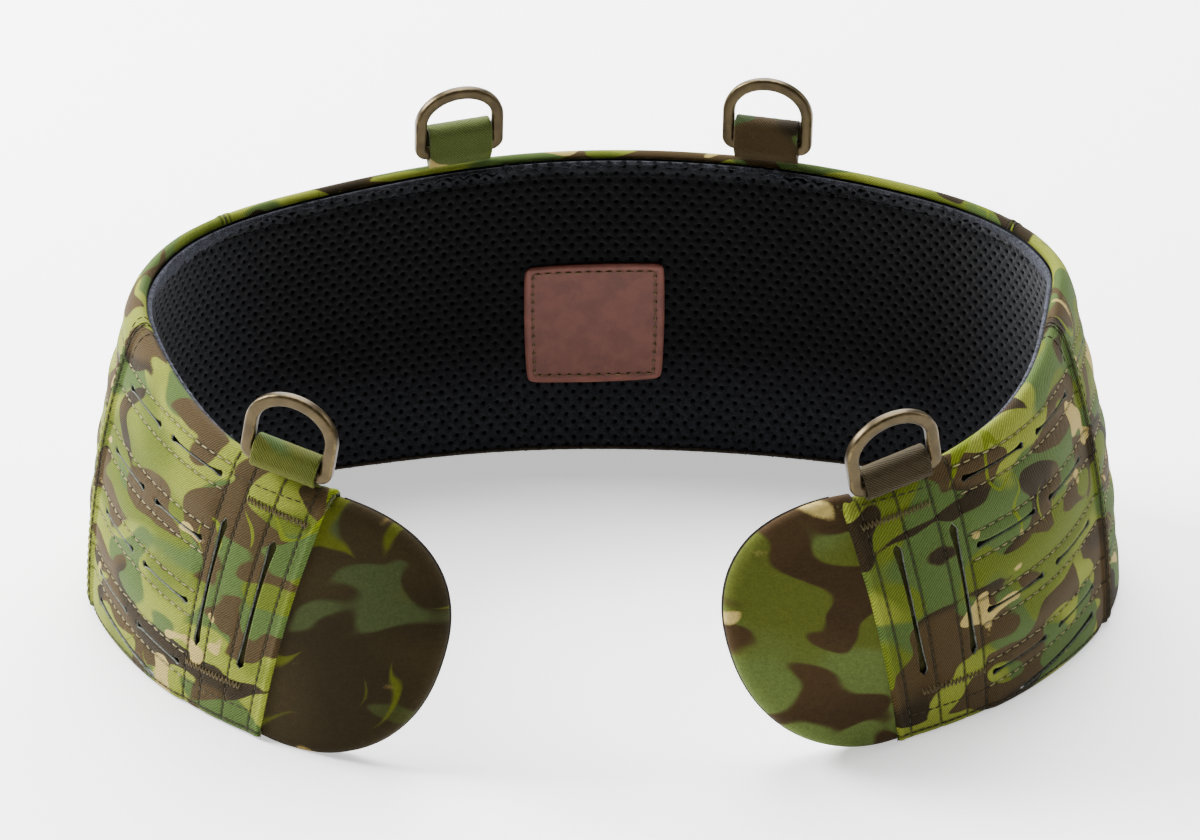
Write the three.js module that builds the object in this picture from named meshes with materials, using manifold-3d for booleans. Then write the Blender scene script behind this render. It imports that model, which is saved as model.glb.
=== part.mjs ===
// A padded tactical belt that stands open on its lower edge, in millimetres, +Z up, opening toward -Y.
// Every soft piece is drawn flat, as arc length round the belt, height up the wall and depth into it,
// and is then bent round the waist by wall().
import * as THREE from "three";
import { mergeVertices } from "three/addons/utils/BufferGeometryUtils.js";
import Module from "manifold-3d";

const wasm = await Module();
wasm.setup();

// Form of the wall: one row for each station along the lower edge, from the left tip to the right.
// turn: heading of the edge in degrees; lean: how far the wall leans in; sweep: how far its upright
// lines lean along the belt; rise: height of the wall up to the top edge of its lining.
const STATION_STEP = 70;
const STATIONS = [
  { turn: 181, lean: 22, sweep: -17, rise: 82 },
  { turn: 154.7, lean: 17, sweep: -12, rise: 91 },
  { turn: 128.5, lean: 11, sweep: -7, rise: 100.5 },
  { turn: 107.7, lean: 10.5, sweep: -3, rise: 114 },
  { turn: 66.2, lean: 10, sweep: -3, rise: 121 },
  { turn: 24.6, lean: 10, sweep: -3, rise: 127 },
  { turn: 13.5, lean: 7.4, sweep: -2, rise: 130.5 },
  { turn: 0, lean: 5.7, sweep: 0, rise: 132 },
  { turn: -11, lean: 6.4, sweep: 3, rise: 131.5 },
  { turn: -24.1, lean: 9, sweep: 4, rise: 128.5 },
  { turn: -63.5, lean: 9.8, sweep: 3.5, rise: 122.5 },
  { turn: -106.8, lean: 12, sweep: -1, rise: 118 },
  { turn: -131.4, lean: 8, sweep: 3.5, rise: 103 },
  { turn: -154.1, lean: 11.6, sweep: 10, rise: 89 },
  { turn: -177, lean: 16, sweep: 16, rise: 76 },
];
const ARC_START = -((STATIONS.length - 1) / 2) * STATION_STEP;
const WALL_BULGE = 4.5;
const ORIGIN_SHIFT = new THREE.Vector2(-1.95, 128.45);

// Layers of the wall, as depths inward from its outer face
const PANEL_THICKNESS = 1.0;
const PAD_OUTER = 1.3;
const PAD_INNER = 6.3;
const LINING_OUTER = 6.6;
const LINING_INNER = 8.0;
const RIM_CREST = 2.5;
const LINING_FOOT = 1.2;

// Places along the belt, as distances either side of its middle
const BELT_MIDDLE = 9.5;
const BACK_SEAM = 165;
const HIP_SEAM = 281;
const HEM = 406;
const SEAM_GAP = 0.4;
const TONGUES = {
  left: { side: -1, length: 57, drop: 7, fullness: 2.3 },
  right: { side: 1, length: 50, drop: 3, fullness: 2.2 },
};
const TONGUE_HEIGHT = 94;
const TONGUE_FACE_OUTER = 1.0;
const TONGUE_FACE_INNER = 2.0;
const TONGUE_PAD_OUTER = 2.3;
const TONGUE_FACE_INSET = 1.6;

// Slot grid: rows an inch apart, columns an inch and a half apart
const ROW_PITCH = 25.4;
const COLUMN_PITCH = 38.1;
const ROWS = 4;
const SLOT_LENGTH = 28.5;
const SLOT_HALF_WIDTH = 0.8;
const SLOT_POINT = 0.8;
const FIRST_ROW = { front: 15.2, slope: 0.092, run: 95, from: 362 };
const FRONT_COLUMNS = [348, 310];
const SIDE_COLUMNS = [260, 222.3, 184.5];
const BACK_COLUMNS = [3.5, 2.5, 1.5, 0.5].map((n) => n * COLUMN_PITCH);
const UPRIGHT_SLOTS = [
  { place: 392, low: 25.2, high: 73.2 },
  { place: 370.5, low: 27, high: 75.3 },
];
const EDGE_SLOT = { from: 349, to: 297.5, low: 3.2, high: 11.2 };

// Turned and stitched panel edges along the seams, a row for each section: how far in from the seam it
// is and how proud the panel's face stands there. Then the patch on the lining.
const SEAM_RIDGE = [
  { inset: 0, proud: 1.1 },
  { inset: 1.5, proud: 1.9 },
  { inset: 3.4, proud: 0 },
];
const PATCH = { middle: -1.6, width: 54, low: 32, high: 84.4, corner: 5, outer: 8.7, inner: 10.2 };

// Webbing loops, one row each, with their rings. middle: place along the belt; lift and depth: foot of
// the loop, from the lining's top edge and the outer face; yaw and lean: its turn along the rim and its
// lean outward, in degrees; rise and out: the ring's bar above and outward of the foot; eye: length of
// the open eye above the bar; tilt: the ring's own lean outward, in degrees.
const LOOPS = [
  { name: "rear_left", middle: -54.2, lift: 2.9, depth: 5, yaw: 2, lean: -4, rise: 6.8, out: 0, eye: 7.6, tilt: -4 },
  { name: "rear_right", middle: 61.8, lift: 2.9, depth: 5, yaw: 0, lean: 1, rise: 6.3, out: 0, eye: 7.3, tilt: 1 },
  { name: "front_left", middle: -376.2, lift: 3.3, depth: 3.4, yaw: 9, lean: 0, rise: 4, out: 5.4, eye: 3.4, tilt: 12 },
  { name: "front_right", middle: 395, lift: 3.4, depth: 3.4, yaw: -5, lean: 0, rise: 3, out: 6, eye: 3.4, tilt: 18 },
];
const WEB_WIDTH = 24.6;
const WEB_THICKNESS = 1.6;
const EYE_RADIUS = 2.8;
const RING = { halfWidth: 17.5, leg: 13.4, crown: 15, wire: 4.6, thickness: 3.8, chamfer: 1.1, corner: 5 };

const COLOURS = {
  cloth: 0x6f7c3a,
  clothDark: 0x4b4a2c,
  mesh: 0x17181b,
  web: 0x66702f,
  ring: 0x8a7a58,
  leather: 0x8a4f44,
};

const radians = THREE.MathUtils.degToRad;

// Value of one column of STATIONS at an arc length, by a Catmull-Rom curve through its rows.
function stationValue(column, arc) {
  const last = STATIONS.length - 1;
  const place = THREE.MathUtils.clamp((arc - ARC_START) / STATION_STEP, 0, last);
  const index = Math.min(Math.floor(place), last - 1);
  const row = (i) => STATIONS[i][column];
  const b = row(index);
  const c = row(index + 1);
  const a = index > 0 ? row(index - 1) : 2 * b - c;
  const d = index < last - 1 ? row(index + 2) : 2 * c - b;
  const t = place - index;
  return b + 0.5 * t * (c - a + t * (2 * a - 5 * b + 4 * c - d + t * (3 * (b - c) + d - a)));
}

// Plan of the lower edge, one point for each millimetre of arc, by summing its heading.
function lowerEdge() {
  const points = [new THREE.Vector2(0, 0)];
  for (let arc = ARC_START; arc < -ARC_START; arc += 1) {
    const heading = radians(stationValue("turn", arc + 0.5));
    const step = new THREE.Vector2(Math.cos(heading), Math.sin(heading));
    points.push(step.add(points[points.length - 1]));
  }
  const middle = points[-ARC_START].clone();
  return points.map((point) => point.sub(middle).add(ORIGIN_SHIFT));
}
const EDGE = lowerEdge();

// Directions of the wall at an arc length: along the belt, outward, up the wall and square to it.
function wallFrame(arc) {
  const heading = radians(stationValue("turn", arc));
  const lean = radians(stationValue("lean", arc));
  const sweep = radians(stationValue("sweep", arc));
  const along = new THREE.Vector3(Math.cos(heading), Math.sin(heading), 0);
  const outward = new THREE.Vector3(-Math.sin(heading), Math.cos(heading), 0);
  const upright = new THREE.Vector3(0, 0, Math.cos(lean)).addScaledVector(outward, -Math.sin(lean));
  const up = upright.multiplyScalar(Math.cos(sweep)).addScaledVector(along, Math.sin(sweep));
  const square = outward.multiplyScalar(Math.cos(lean)).add(new THREE.Vector3(0, 0, Math.sin(lean)));
  const slip = Math.tan(lean) / Math.cos(sweep);
  return { along, up, square, slip };
}

// Point of the belt at an arc length, a height up the wall and a depth in from its outer face.
// The inner layers start higher up the leaning wall, so that every layer ends level on the floor.
function wall(arc, height, depth) {
  const { up, square, slip } = wallFrame(arc);
  const index = THREE.MathUtils.clamp(Math.floor(arc - ARC_START), 0, EDGE.length - 2);
  const foot = EDGE[index].clone().lerp(EDGE[index + 1], arc - ARC_START - index);
  const share = THREE.MathUtils.clamp(height / stationValue("rise", arc), 0, 1);
  const bulge = WALL_BULGE * 4 * share * (1 - share);
  return new THREE.Vector3(foot.x, foot.y, 0)
    .addScaledVector(up, height + depth * slip * (1 - share))
    .addScaledVector(square, bulge - depth);
}

// The same on the straight runs between the back's sections, for what lies on the lining there.
function onSections(arc, height, depth) {
  const low = BELT_MIDDLE + Math.floor((arc - BELT_MIDDLE) / COLUMN_PITCH) * COLUMN_PITCH;
  const next = wall(low + COLUMN_PITCH, height, depth);
  return wall(low, height, depth).lerp(next, (arc - low) / COLUMN_PITCH);
}

// A solid of the geometry's position attribute alone, with its shared corners merged.
function solidOf(geometry) {
  const plain = geometry.clone();
  plain.deleteAttribute("normal");
  plain.deleteAttribute("uv");
  const merged = mergeVertices(plain, 1e-4);
  const triVerts = new Uint32Array(merged.index.array);
  const vertProperties = merged.attributes.position.array;
  return new wasm.Manifold(new wasm.Mesh({ numProp: 3, vertProperties, triVerts }));
}

function geometryOf(solid) {
  const mesh = solid.getMesh();
  return new THREE.BufferGeometry()
    .setAttribute("position", new THREE.BufferAttribute(mesh.vertProperties, 3))
    .setIndex(new THREE.BufferAttribute(mesh.triVerts, 1));
}

// Moves every corner of a flat geometry with place(x, y, z).
function reshape(geometry, place) {
  const position = geometry.getAttribute("position");
  for (let i = 0; i < position.count; i += 1) {
    const point = place(position.getX(i), position.getY(i), position.getZ(i));
    position.setXYZ(i, point.x, point.y, point.z);
  }
  return geometry;
}

// Height on a wall with the given edges of a section drawn 100 high: the 8 mm next to each edge keep
// their size and the middle stretches.
const DRAWN_HEIGHT = 100;
const EDGE_ZONE = 8;
function stretched(drawn, bottom, top) {
  const zone = Math.min(EDGE_ZONE, (top - bottom) / 2.2);
  if (drawn < EDGE_ZONE) return bottom + (drawn / EDGE_ZONE) * zone;
  if (drawn > DRAWN_HEIGHT - EDGE_ZONE) return top - ((DRAWN_HEIGHT - drawn) / EDGE_ZONE) * zone;
  const share = (drawn - EDGE_ZONE) / (DRAWN_HEIGHT - 2 * EDGE_ZONE);
  return bottom + zone + share * (top - bottom - 2 * zone);
}

// Splits the four-sided faces that run down the section along the same diagonal as those that run up,
// so that neighbouring layers bend alike and keep their distance.
const CORNERS_OF_FACE = 6;
function shareDiagonals(geometry) {
  const position = geometry.getAttribute("position");
  const { start, count } = geometry.groups[1];
  const corner = (i) => new THREE.Vector3().fromBufferAttribute(position, i);
  for (let first = start; first < start + count; first += CORNERS_OF_FACE) {
    const [a, b, d, , c] = [0, 1, 2, 3, 4].map((n) => corner(first + n));
    if (a.y < b.y) continue;
    [a, b, c, a, c, d].forEach((point, n) => position.setXYZ(first + n, point.x, point.y, point.z));
  }
}

// Extrudes a section, a list of [depth, drawn height], through the arc lengths and bends it round the
// waist. edges(arc) gives its bottom and top, shift(arc, depth) may move its depths, and bend() places it.
function strip(section, arcs, edges, shift = (arc, depth) => depth, bend = wall) {
  const shape = new THREE.Shape(section.map(([depth, drawn]) => new THREE.Vector2(depth, drawn)));
  const steps = arcs.length - 1;
  const flat = new THREE.ExtrudeGeometry(shape, { depth: steps, steps, bevelEnabled: false });
  shareDiagonals(flat);
  return reshape(flat, (depth, drawn, step) => {
    const arc = arcs[steps - Math.round(step)];
    const [bottom, top] = edges(arc);
    return bend(arc, stretched(drawn, bottom, top), shift(arc, depth));
  });
}

// Arc lengths from one place to another, through the shared grid of sections between them: one for
// each slot column across the gently curved back, two for each elsewhere.
function sectionsBetween(from, to) {
  const arcs = [from];
  const step = COLUMN_PITCH / 2;
  for (let n = Math.ceil((from - BELT_MIDDLE + 3) / step); n * step < to - BELT_MIDDLE - 3; n += 1) {
    const onBack = Math.abs(n * step) < BACK_SEAM;
    if (!onBack || n % 2 === 0) arcs.push(BELT_MIDDLE + n * step);
  }
  return [...arcs, to];
}

// Half-height of a tongue at a distance past the hem, as a share: a superellipse that closes at the tip.
function tongueShare(tongue, past) {
  const share = THREE.MathUtils.clamp(past / tongue.length, 0, 1);
  return (1 - share ** tongue.fullness) ** (1 / tongue.fullness);
}

// Bottom and top of the padded wall: level with the rim behind the hem, the tongue's outline past it.
function padEdges(arc, inset = 0) {
  const place = arc - BELT_MIDDLE;
  const rim = stationValue("rise", arc);
  if (Math.abs(place) <= HEM) return [inset, rim - inset];
  const tongue = place < 0 ? TONGUES.left : TONGUES.right;
  const past = Math.abs(place) - HEM;
  const half = (TONGUE_HEIGHT / 2) * tongueShare(tongue, past);
  const middle = TONGUE_HEIGHT / 2 - tongue.drop * (past / tongue.length);
  return [Math.max(0, middle - half) + inset, Math.max(middle + half, inset + 1) - inset];
}

// Arc lengths over one tongue, closer together toward its tip, from the hem to short of the tip.
const TONGUE_SECTIONS = 7;
const TIP_MARGIN = 0.985;
function tongueArcs(tongue, start) {
  const arcs = [];
  for (let n = 0; n <= TONGUE_SECTIONS; n += 1) {
    const share = Math.sin(((n / TONGUE_SECTIONS) * Math.PI) / 2) * TIP_MARGIN;
    arcs.push(BELT_MIDDLE + tongue.side * (HEM + Math.max(start, share * tongue.length)));
  }
  return tongue.side < 0 ? arcs.reverse() : arcs;
}

function mesh(name, geometry, colour, roughness, metalness = 0) {
  const material = new THREE.MeshStandardMaterial({ color: colour, roughness, metalness });
  const made = new THREE.Mesh(geometry, material);
  made.name = name;
  return made;
}

const allArcs = [
  ...tongueArcs(TONGUES.left, 0.4),
  ...sectionsBetween(BELT_MIDDLE - HEM, BELT_MIDDLE + HEM),
  ...tongueArcs(TONGUES.right, 0.4),
];

// Foam pad: one body from tip to tip, flat underneath, rounded along the rim.
function padCore() {
  const section = [
    [PAD_OUTER, 0],
    [PAD_INNER, 0],
    [PAD_INNER, 33],
    [PAD_INNER, 67],
    [PAD_INNER, 99.2],
    [4.9, 100.5],
    [3.4, 101.1],
    [2.2, 100.1],
    [PAD_OUTER, 96.8],
    [PAD_OUTER, 67],
    [PAD_OUTER, 33],
  ];
  const thinned = (arc, depth) => {
    const onTongue = Math.abs(arc - BELT_MIDDLE) > HEM;
    return onTongue ? Math.max(depth, TONGUE_PAD_OUTER) : depth;
  };
  return mesh("pad_core", strip(section, allArcs, (arc) => padEdges(arc), thinned), COLOURS.clothDark, 0.9);
}

// Spacer-mesh lining over the whole inner face, tongues too.
function meshLining() {
  const section = [
    [LINING_OUTER, 0],
    [LINING_INNER, 0],
    [LINING_INNER, 33],
    [LINING_INNER, 67],
    [LINING_INNER, 99.6],
    [LINING_OUTER, 99.9],
    [LINING_OUTER, 67],
    [LINING_OUTER, 33],
  ];
  const edges = (arc) => {
    const [bottom, top] = padEdges(arc, LINING_FOOT);
    return Math.abs(arc - BELT_MIDDLE) <= HEM ? [bottom, top + LINING_FOOT] : [bottom, top];
  };
  return mesh("mesh_lining", strip(section, allArcs, edges), COLOURS.mesh, 0.95);
}

// Loop-cloth face of a tongue, let in on the pad just past the hem.
function tongueFace(side) {
  const section = [
    [TONGUE_FACE_OUTER, 0],
    [TONGUE_FACE_INNER, 0],
    [TONGUE_FACE_INNER, 33],
    [TONGUE_FACE_INNER, 67],
    [TONGUE_FACE_INNER, 100],
    [TONGUE_FACE_OUTER, 100],
    [TONGUE_FACE_OUTER, 67],
    [TONGUE_FACE_OUTER, 33],
  ];
  const arcs = tongueArcs(TONGUES[side], 0.4).slice(side === "left" ? 1 : 0, side === "left" ? undefined : -1);
  return mesh(
    "tongue_face_" + side,
    strip(section, arcs, (arc) => padEdges(arc, TONGUE_FACE_INSET)),
    COLOURS.cloth,
    0.95,
  );
}

// Height of the lowest slot row: level round the back, falling with the wall toward the hem.
function firstRow(place) {
  const fall = THREE.MathUtils.clamp(FIRST_ROW.from - Math.abs(place), -20, FIRST_ROW.run);
  return FIRST_ROW.front + FIRST_ROW.slope * fall;
}

// Cutter for a slot between two points of the flat wall, pointed at both ends.
const CUT_FROM = -3;
const CUT_DEPTH = 6;
function slotCutter(start, end) {
  const from = new THREE.Vector2(...start);
  const along = new THREE.Vector2(...end).sub(from);
  const length = along.length();
  const angle = along.angle();
  const outline = [
    [-SLOT_POINT, 0],
    [SLOT_POINT, -SLOT_HALF_WIDTH],
    [length - SLOT_POINT, -SLOT_HALF_WIDTH],
    [length + SLOT_POINT, 0],
    [length - SLOT_POINT, SLOT_HALF_WIDTH],
    [SLOT_POINT, SLOT_HALF_WIDTH],
  ];
  const points = outline.map(([x, y]) =>
    new THREE.Vector2(x, y).rotateAround(new THREE.Vector2(0, 0), angle).add(from),
  );
  const shape = new THREE.Shape(points);
  const flat = new THREE.ExtrudeGeometry(shape, { depth: CUT_DEPTH, bevelEnabled: false });
  return solidOf(reshape(flat, (arc, height, depth) => wall(arc, height, CUT_FROM + depth)));
}

// Cutters of one column of the slot grid, centred a distance either side of the belt's middle.
function columnCutters(place) {
  const cutters = [];
  for (let row = 0; row < ROWS; row += 1) {
    const ends = [place - SLOT_LENGTH / 2, place + SLOT_LENGTH / 2];
    const [start, end] = ends.map((x) => [BELT_MIDDLE + x, firstRow(x) + row * ROW_PITCH]);
    cutters.push(slotCutter(start, end));
  }
  return cutters;
}

// Laminate panel from the floor up over the rim, between two places, less its slots. Its outer face
// stands proud along the seams, which are the ends named in seams.
function panel(name, from, to, seams, cutters) {
  const section = [
    [0, 0.3],
    [PANEL_THICKNESS, 0.3],
    [PANEL_THICKNESS, 33],
    [PANEL_THICKNESS, 67],
    [PANEL_THICKNESS, 97],
    [1.9, 100.5],
    [3.6, 101.5],
    [5.9, 100.3],
    [LINING_OUTER, 100.4],
    [5.6, 101.7],
    [3.5, 100 + RIM_CREST],
    [1.2, 101.5],
    [0, 97.5],
    [0, 67],
    [0, 33],
  ];
  const ridges = seams.flatMap((seam) =>
    SEAM_RIDGE.map(({ inset, proud }) => {
      const arc = BELT_MIDDLE + (seam === from ? from + inset : to - inset);
      return { arc, proud };
    }),
  );
  const plain = sectionsBetween(BELT_MIDDLE + from, BELT_MIDDLE + to);
  const clear = plain.filter((arc) => ridges.every((ridge) => Math.abs(ridge.arc - arc) > 1));
  const arcs = [...clear, ...ridges.map((ridge) => ridge.arc)].sort((a, b) => a - b);
  const raised = (arc, depth) => {
    const ridge = ridges.find((one) => one.arc === arc);
    return ridge && depth < PANEL_THICKNESS / 2 ? depth - ridge.proud : depth;
  };
  let solid = solidOf(strip(section, arcs, (arc) => [0, stationValue("rise", arc)], raised));
  for (const cutter of cutters) solid = solid.subtract(cutter);
  return mesh(name, geometryOf(solid), COLOURS.cloth, 0.85);
}

function sidePanel(side) {
  const sign = TONGUES[side].side;
  const ends = [sign * (BACK_SEAM + SEAM_GAP), sign * (HIP_SEAM - SEAM_GAP)].sort((a, b) => a - b);
  const cutters = SIDE_COLUMNS.flatMap((place) => columnCutters(sign * place));
  return panel("panel_side_" + side, ...ends, ends, cutters);
}

function frontPanel(side) {
  const sign = TONGUES[side].side;
  const ends = [sign * (HIP_SEAM + SEAM_GAP), sign * HEM].sort((a, b) => a - b);
  const seam = sign * (HIP_SEAM + SEAM_GAP);
  const cutters = FRONT_COLUMNS.flatMap((place) => columnCutters(sign * place));
  for (const slot of UPRIGHT_SLOTS) {
    const arc = BELT_MIDDLE + sign * slot.place;
    cutters.push(slotCutter([arc, slot.low], [arc, slot.high]));
  }
  const edge = [
    [BELT_MIDDLE + sign * EDGE_SLOT.from, EDGE_SLOT.low],
    [BELT_MIDDLE + sign * EDGE_SLOT.to, EDGE_SLOT.high],
  ];
  cutters.push(slotCutter(...edge));
  return panel("panel_front_" + side, ...ends, [seam], cutters);
}

function backPanel() {
  const cutters = BACK_COLUMNS.flatMap((place) => [...columnCutters(-place), ...columnCutters(place)]);
  const ends = [-BACK_SEAM + SEAM_GAP, BACK_SEAM - SEAM_GAP];
  return panel("panel_back", ...ends, ends, cutters);
}

// Leather patch with round corners, sewn on the lining at the middle of the back.
function leatherPatch() {
  const { middle, width, low, high, corner, outer, inner } = PATCH;
  const inset = (arc) => {
    const past = Math.abs(arc - middle) - (width / 2 - corner);
    return past > 0 ? corner - Math.sqrt(Math.max(0, corner ** 2 - past ** 2)) : 0;
  };
  const arcs = [-1, -0.97, -0.9, -0.81, -0.4, 0, 0.4, 0.81, 0.9, 0.97, 1].map(
    (share) => middle + (share * width) / 2,
  );
  const section = [
    [outer, 0],
    [inner, 0],
    [inner, 50],
    [inner, 100],
    [outer, 100],
    [outer, 50],
  ];
  const geometry = strip(section, arcs, (arc) => [low + inset(arc), high - inset(arc)], undefined, onSections);
  return mesh("leather_patch", geometry, COLOURS.leather, 0.6);
}

// Stands a mesh drawn with x along the belt, y up and z inward on the rim at a loop's foot, then moves
// it up and out by the given amounts and tilts it outward.
function standOnRim(object, loop, up, out, tilt) {
  const rimAt = (arc) => wall(arc, stationValue("rise", arc) + loop.lift, loop.depth);
  const foot = rimAt(loop.middle);
  const x = rimAt(loop.middle + 1).sub(rimAt(loop.middle - 1));
  const y = wallFrame(loop.middle).square.negate().cross(x.normalize()).normalize();
  const frame = new THREE.Matrix4().makeBasis(x, y, x.clone().cross(y));
  object.quaternion.setFromRotationMatrix(frame);
  object.position.copy(foot);
  object.rotateY(radians(loop.yaw));
  object.rotateX(-radians(loop.lean));
  object.translateY(up);
  object.translateZ(-out);
  object.rotateX(-radians(tilt));
  return object;
}

// Outline of a band pulled tight round circles, each [across, up, radius], in counter-clockwise order.
const CIRCLE_STEPS = 16;
function bandRound(circles) {
  const points = circles
    .flatMap(([across, up, radius]) =>
      Array.from({ length: CIRCLE_STEPS }, (_, n) => {
        const turn = (2 * Math.PI * (n + 0.5)) / CIRCLE_STEPS;
        return new THREE.Vector2(across + radius * Math.cos(turn), up + radius * Math.sin(turn));
      }),
    )
    .sort((a, b) => a.x - b.x || a.y - b.y);
  const chain = (ordered) => {
    const kept = [];
    for (const point of ordered) {
      const turnsRight = () => {
        const [a, b] = kept.slice(-2);
        return b.clone().sub(a).cross(point.clone().sub(b)) <= 1e-6;
      };
      while (kept.length > 1 && turnsRight()) kept.pop();
      kept.push(point);
    }
    return kept.slice(0, -1);
  };
  return [...chain(points), ...chain([...points].reverse())];
}

// Webbing folded over a ring's bar: its two layers meet at the foot and part round the open eye.
function webbingLoop(loop) {
  const outer = EYE_RADIUS + WEB_THICKNESS;
  const bar = [-loop.out, loop.rise];
  const crown = [-loop.out, loop.rise + loop.eye];
  const foot = [0, WEB_THICKNESS, WEB_THICKNESS];
  const shape = new THREE.Shape(bandRound([foot, [...bar, outer], [...crown, outer]]));
  shape.holes.push(new THREE.Path(bandRound([[...bar, EYE_RADIUS], [...crown, EYE_RADIUS]])));
  const geometry = new THREE.ExtrudeGeometry(shape, { depth: WEB_WIDTH, bevelEnabled: false });
  geometry.translate(0, 0, -WEB_WIDTH / 2);
  geometry.rotateY(-Math.PI / 2);
  return standOnRim(mesh("webbing_loop_" + loop.name, geometry, COLOURS.web, 0.85), loop, 0, 0, 0);
}

// Outline of a ring, inset from its outer edge: straight bar with round corners below, legs, and half
// an ellipse on top.
const CORNER_STEPS = 3;
const CROWN_STEPS = 12;
function ringOutline(inset) {
  const half = RING.halfWidth - inset;
  const corner = Math.max(RING.corner - inset, 0.8);
  const bottom = inset - RING.wire / 2;
  const arc = (x, y, across, up, from, steps) =>
    Array.from({ length: steps + 1 }, (_, n) => {
      const turn = from + (Math.PI * n) / (steps === CROWN_STEPS ? steps : 2 * steps);
      return new THREE.Vector2(x + across * Math.cos(turn), y + up * Math.sin(turn));
    });
  return [
    ...arc(half - corner, bottom + corner, corner, corner, -Math.PI / 2, CORNER_STEPS),
    ...arc(0, RING.leg, half, RING.crown - inset, 0, CROWN_STEPS),
    ...arc(corner - half, bottom + corner, corner, corner, Math.PI, CORNER_STEPS),
  ];
}

// D-ring with its bar's middle at the origin, chamfered on both faces.
function dRing(loop) {
  const shape = new THREE.Shape(ringOutline(0));
  shape.holes.push(new THREE.Path(ringOutline(RING.wire)));
  const geometry = new THREE.ExtrudeGeometry(shape, {
    depth: RING.thickness - 2 * RING.chamfer,
    bevelThickness: RING.chamfer,
    bevelSize: RING.chamfer,
    bevelOffset: -RING.chamfer,
    bevelSegments: 1,
  });
  geometry.translate(0, 0, RING.chamfer - RING.thickness / 2);
  const ring = mesh("d_ring_" + loop.name, geometry, COLOURS.ring, 0.35);
  return standOnRim(ring, loop, loop.rise, loop.out, loop.tilt);
}

const belt = new THREE.Group();
belt.add(padCore(), meshLining(), tongueFace("left"), tongueFace("right"));
belt.add(backPanel(), sidePanel("left"), sidePanel("right"), frontPanel("left"), frontPanel("right"));
belt.add(leatherPatch());
for (const loop of LOOPS) belt.add(webbingLoop(loop), dRing(loop));

export default belt;
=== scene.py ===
import math

import bpy
import numpy as np
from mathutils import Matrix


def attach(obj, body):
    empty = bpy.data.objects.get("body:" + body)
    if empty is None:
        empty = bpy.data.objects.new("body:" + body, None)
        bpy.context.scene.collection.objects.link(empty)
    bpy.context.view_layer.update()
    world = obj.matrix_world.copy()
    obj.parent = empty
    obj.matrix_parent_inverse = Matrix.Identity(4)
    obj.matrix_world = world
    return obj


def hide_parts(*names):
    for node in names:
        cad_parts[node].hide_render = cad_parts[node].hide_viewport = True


# Looks of a padded tactical belt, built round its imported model. Lengths are in millimetres, as the belt
# is drawn, until new_piece() puts them into a mesh in metres.
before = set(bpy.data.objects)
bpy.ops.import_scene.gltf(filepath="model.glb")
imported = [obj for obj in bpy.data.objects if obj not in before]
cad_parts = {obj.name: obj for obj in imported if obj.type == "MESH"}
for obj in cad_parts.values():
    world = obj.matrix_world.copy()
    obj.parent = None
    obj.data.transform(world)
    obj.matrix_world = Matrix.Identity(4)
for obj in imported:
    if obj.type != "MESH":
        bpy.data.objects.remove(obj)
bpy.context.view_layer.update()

MM = 0.001
UV_SCALE = 0.1  # a UV unit is a centimetre of cloth

# Form of the wall, one row for each station along the lower edge, from the left tip to the right:
# heading, lean inward and sweep along the belt in degrees, and the height of the lining's top edge
STATION_STEP = 70
TURN, LEAN, SWEEP, RISE = range(4)
STATIONS = np.array(
    [
        (181, 22, -17, 82),
        (154.7, 17, -12, 91),
        (128.5, 11, -7, 100.5),
        (107.7, 10.5, -3, 114),
        (66.2, 10, -3, 121),
        (24.6, 10, -3, 127),
        (13.5, 7.4, -2, 130.5),
        (0, 5.7, 0, 132),
        (-11, 6.4, 3, 131.5),
        (-24.1, 9, 4, 128.5),
        (-63.5, 9.8, 3.5, 122.5),
        (-106.8, 12, -1, 118),
        (-131.4, 8, 3.5, 103),
        (-154.1, 11.6, 10, 89),
        (-177, 16, 16, 76),
    ],
    float,
)
ARC_START = -STATION_STEP * (len(STATIONS) - 1) // 2
WALL_BULGE = 4.5
ORIGIN_SHIFT = np.array([-1.95, 128.45])

# Places along the belt, as distances either side of its middle
BELT_MIDDLE = 9.5
BACK_SEAM = 165
HIP_SEAM = 281
HEM = 406
SEAM_GAP = 0.25

# Profiles across a seam and a hem, as distance from it and height
SEAM_RIDGE = np.array([(0, 0.9), (0.5, 1.4), (1.5, 1.7), (2.6, 1.1), (3.6, 0.2), (4.6, 0)])
HEM_RIDGE = np.array(
    [(0, -0.3), (0.5, 0.45), (1.2, 0.85), (2.2, 0.75), (3.2, 0.4), (5.2, 0.4), (6.6, 0.1), (7.6, 0)]
)
HEM_FOLD = (3.2, 1.6)  # the turned edge grows lighter from the first distance off the hem to the second

# Layers of the wall, as depths inward from its outer face, and the roll over the rim
PANEL_THICKNESS = 1.0
LINING_DEPTH = 8.0
RIM_START = 3.0
RIM_DEPTH = 3.3
RIM_HEIGHT = 5.5
RIM_REACH = 4.6
RIM_TURN = math.radians(142)

# Slot grid: the lowest row is level round the back and falls by its slope toward the hem
ROW_PITCH = 25.4
SLOT_PITCH = 38.1
ROWS = 4
FIRST_ROW = dict(height=15.2, slope=0.092, start=362, least=-20, most=95)
ROW_END = 366
SLOT_LENGTH = 30.1
SLOT_EYE = 1.3
SLOT_SLIT = 0.4
SLOT_TAPER = 2.0
FRONT_COLUMNS = (348, 310)
SIDE_COLUMNS = (260, 222.3, 184.5)
BACK_COLUMNS = tuple(SLOT_PITCH * n for n in (-3.5, -2.5, -1.5, -0.5, 0.5, 1.5, 2.5, 3.5))
UPRIGHT_SLOTS = ((392, 24.4, 74.0), (370.5, 26.2, 76.1))  # place, lower and upper end
UPRIGHT_EYE = 1.7
UPRIGHT_SLIT = 0.8
UPRIGHT_TAPER = 7.0
EDGE_SLOT = ((349, 3.2), (297.5, 11.2))  # place and height of its end by the hem and its other end
EDGE_SLOT_GAPE = 0.9
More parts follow.
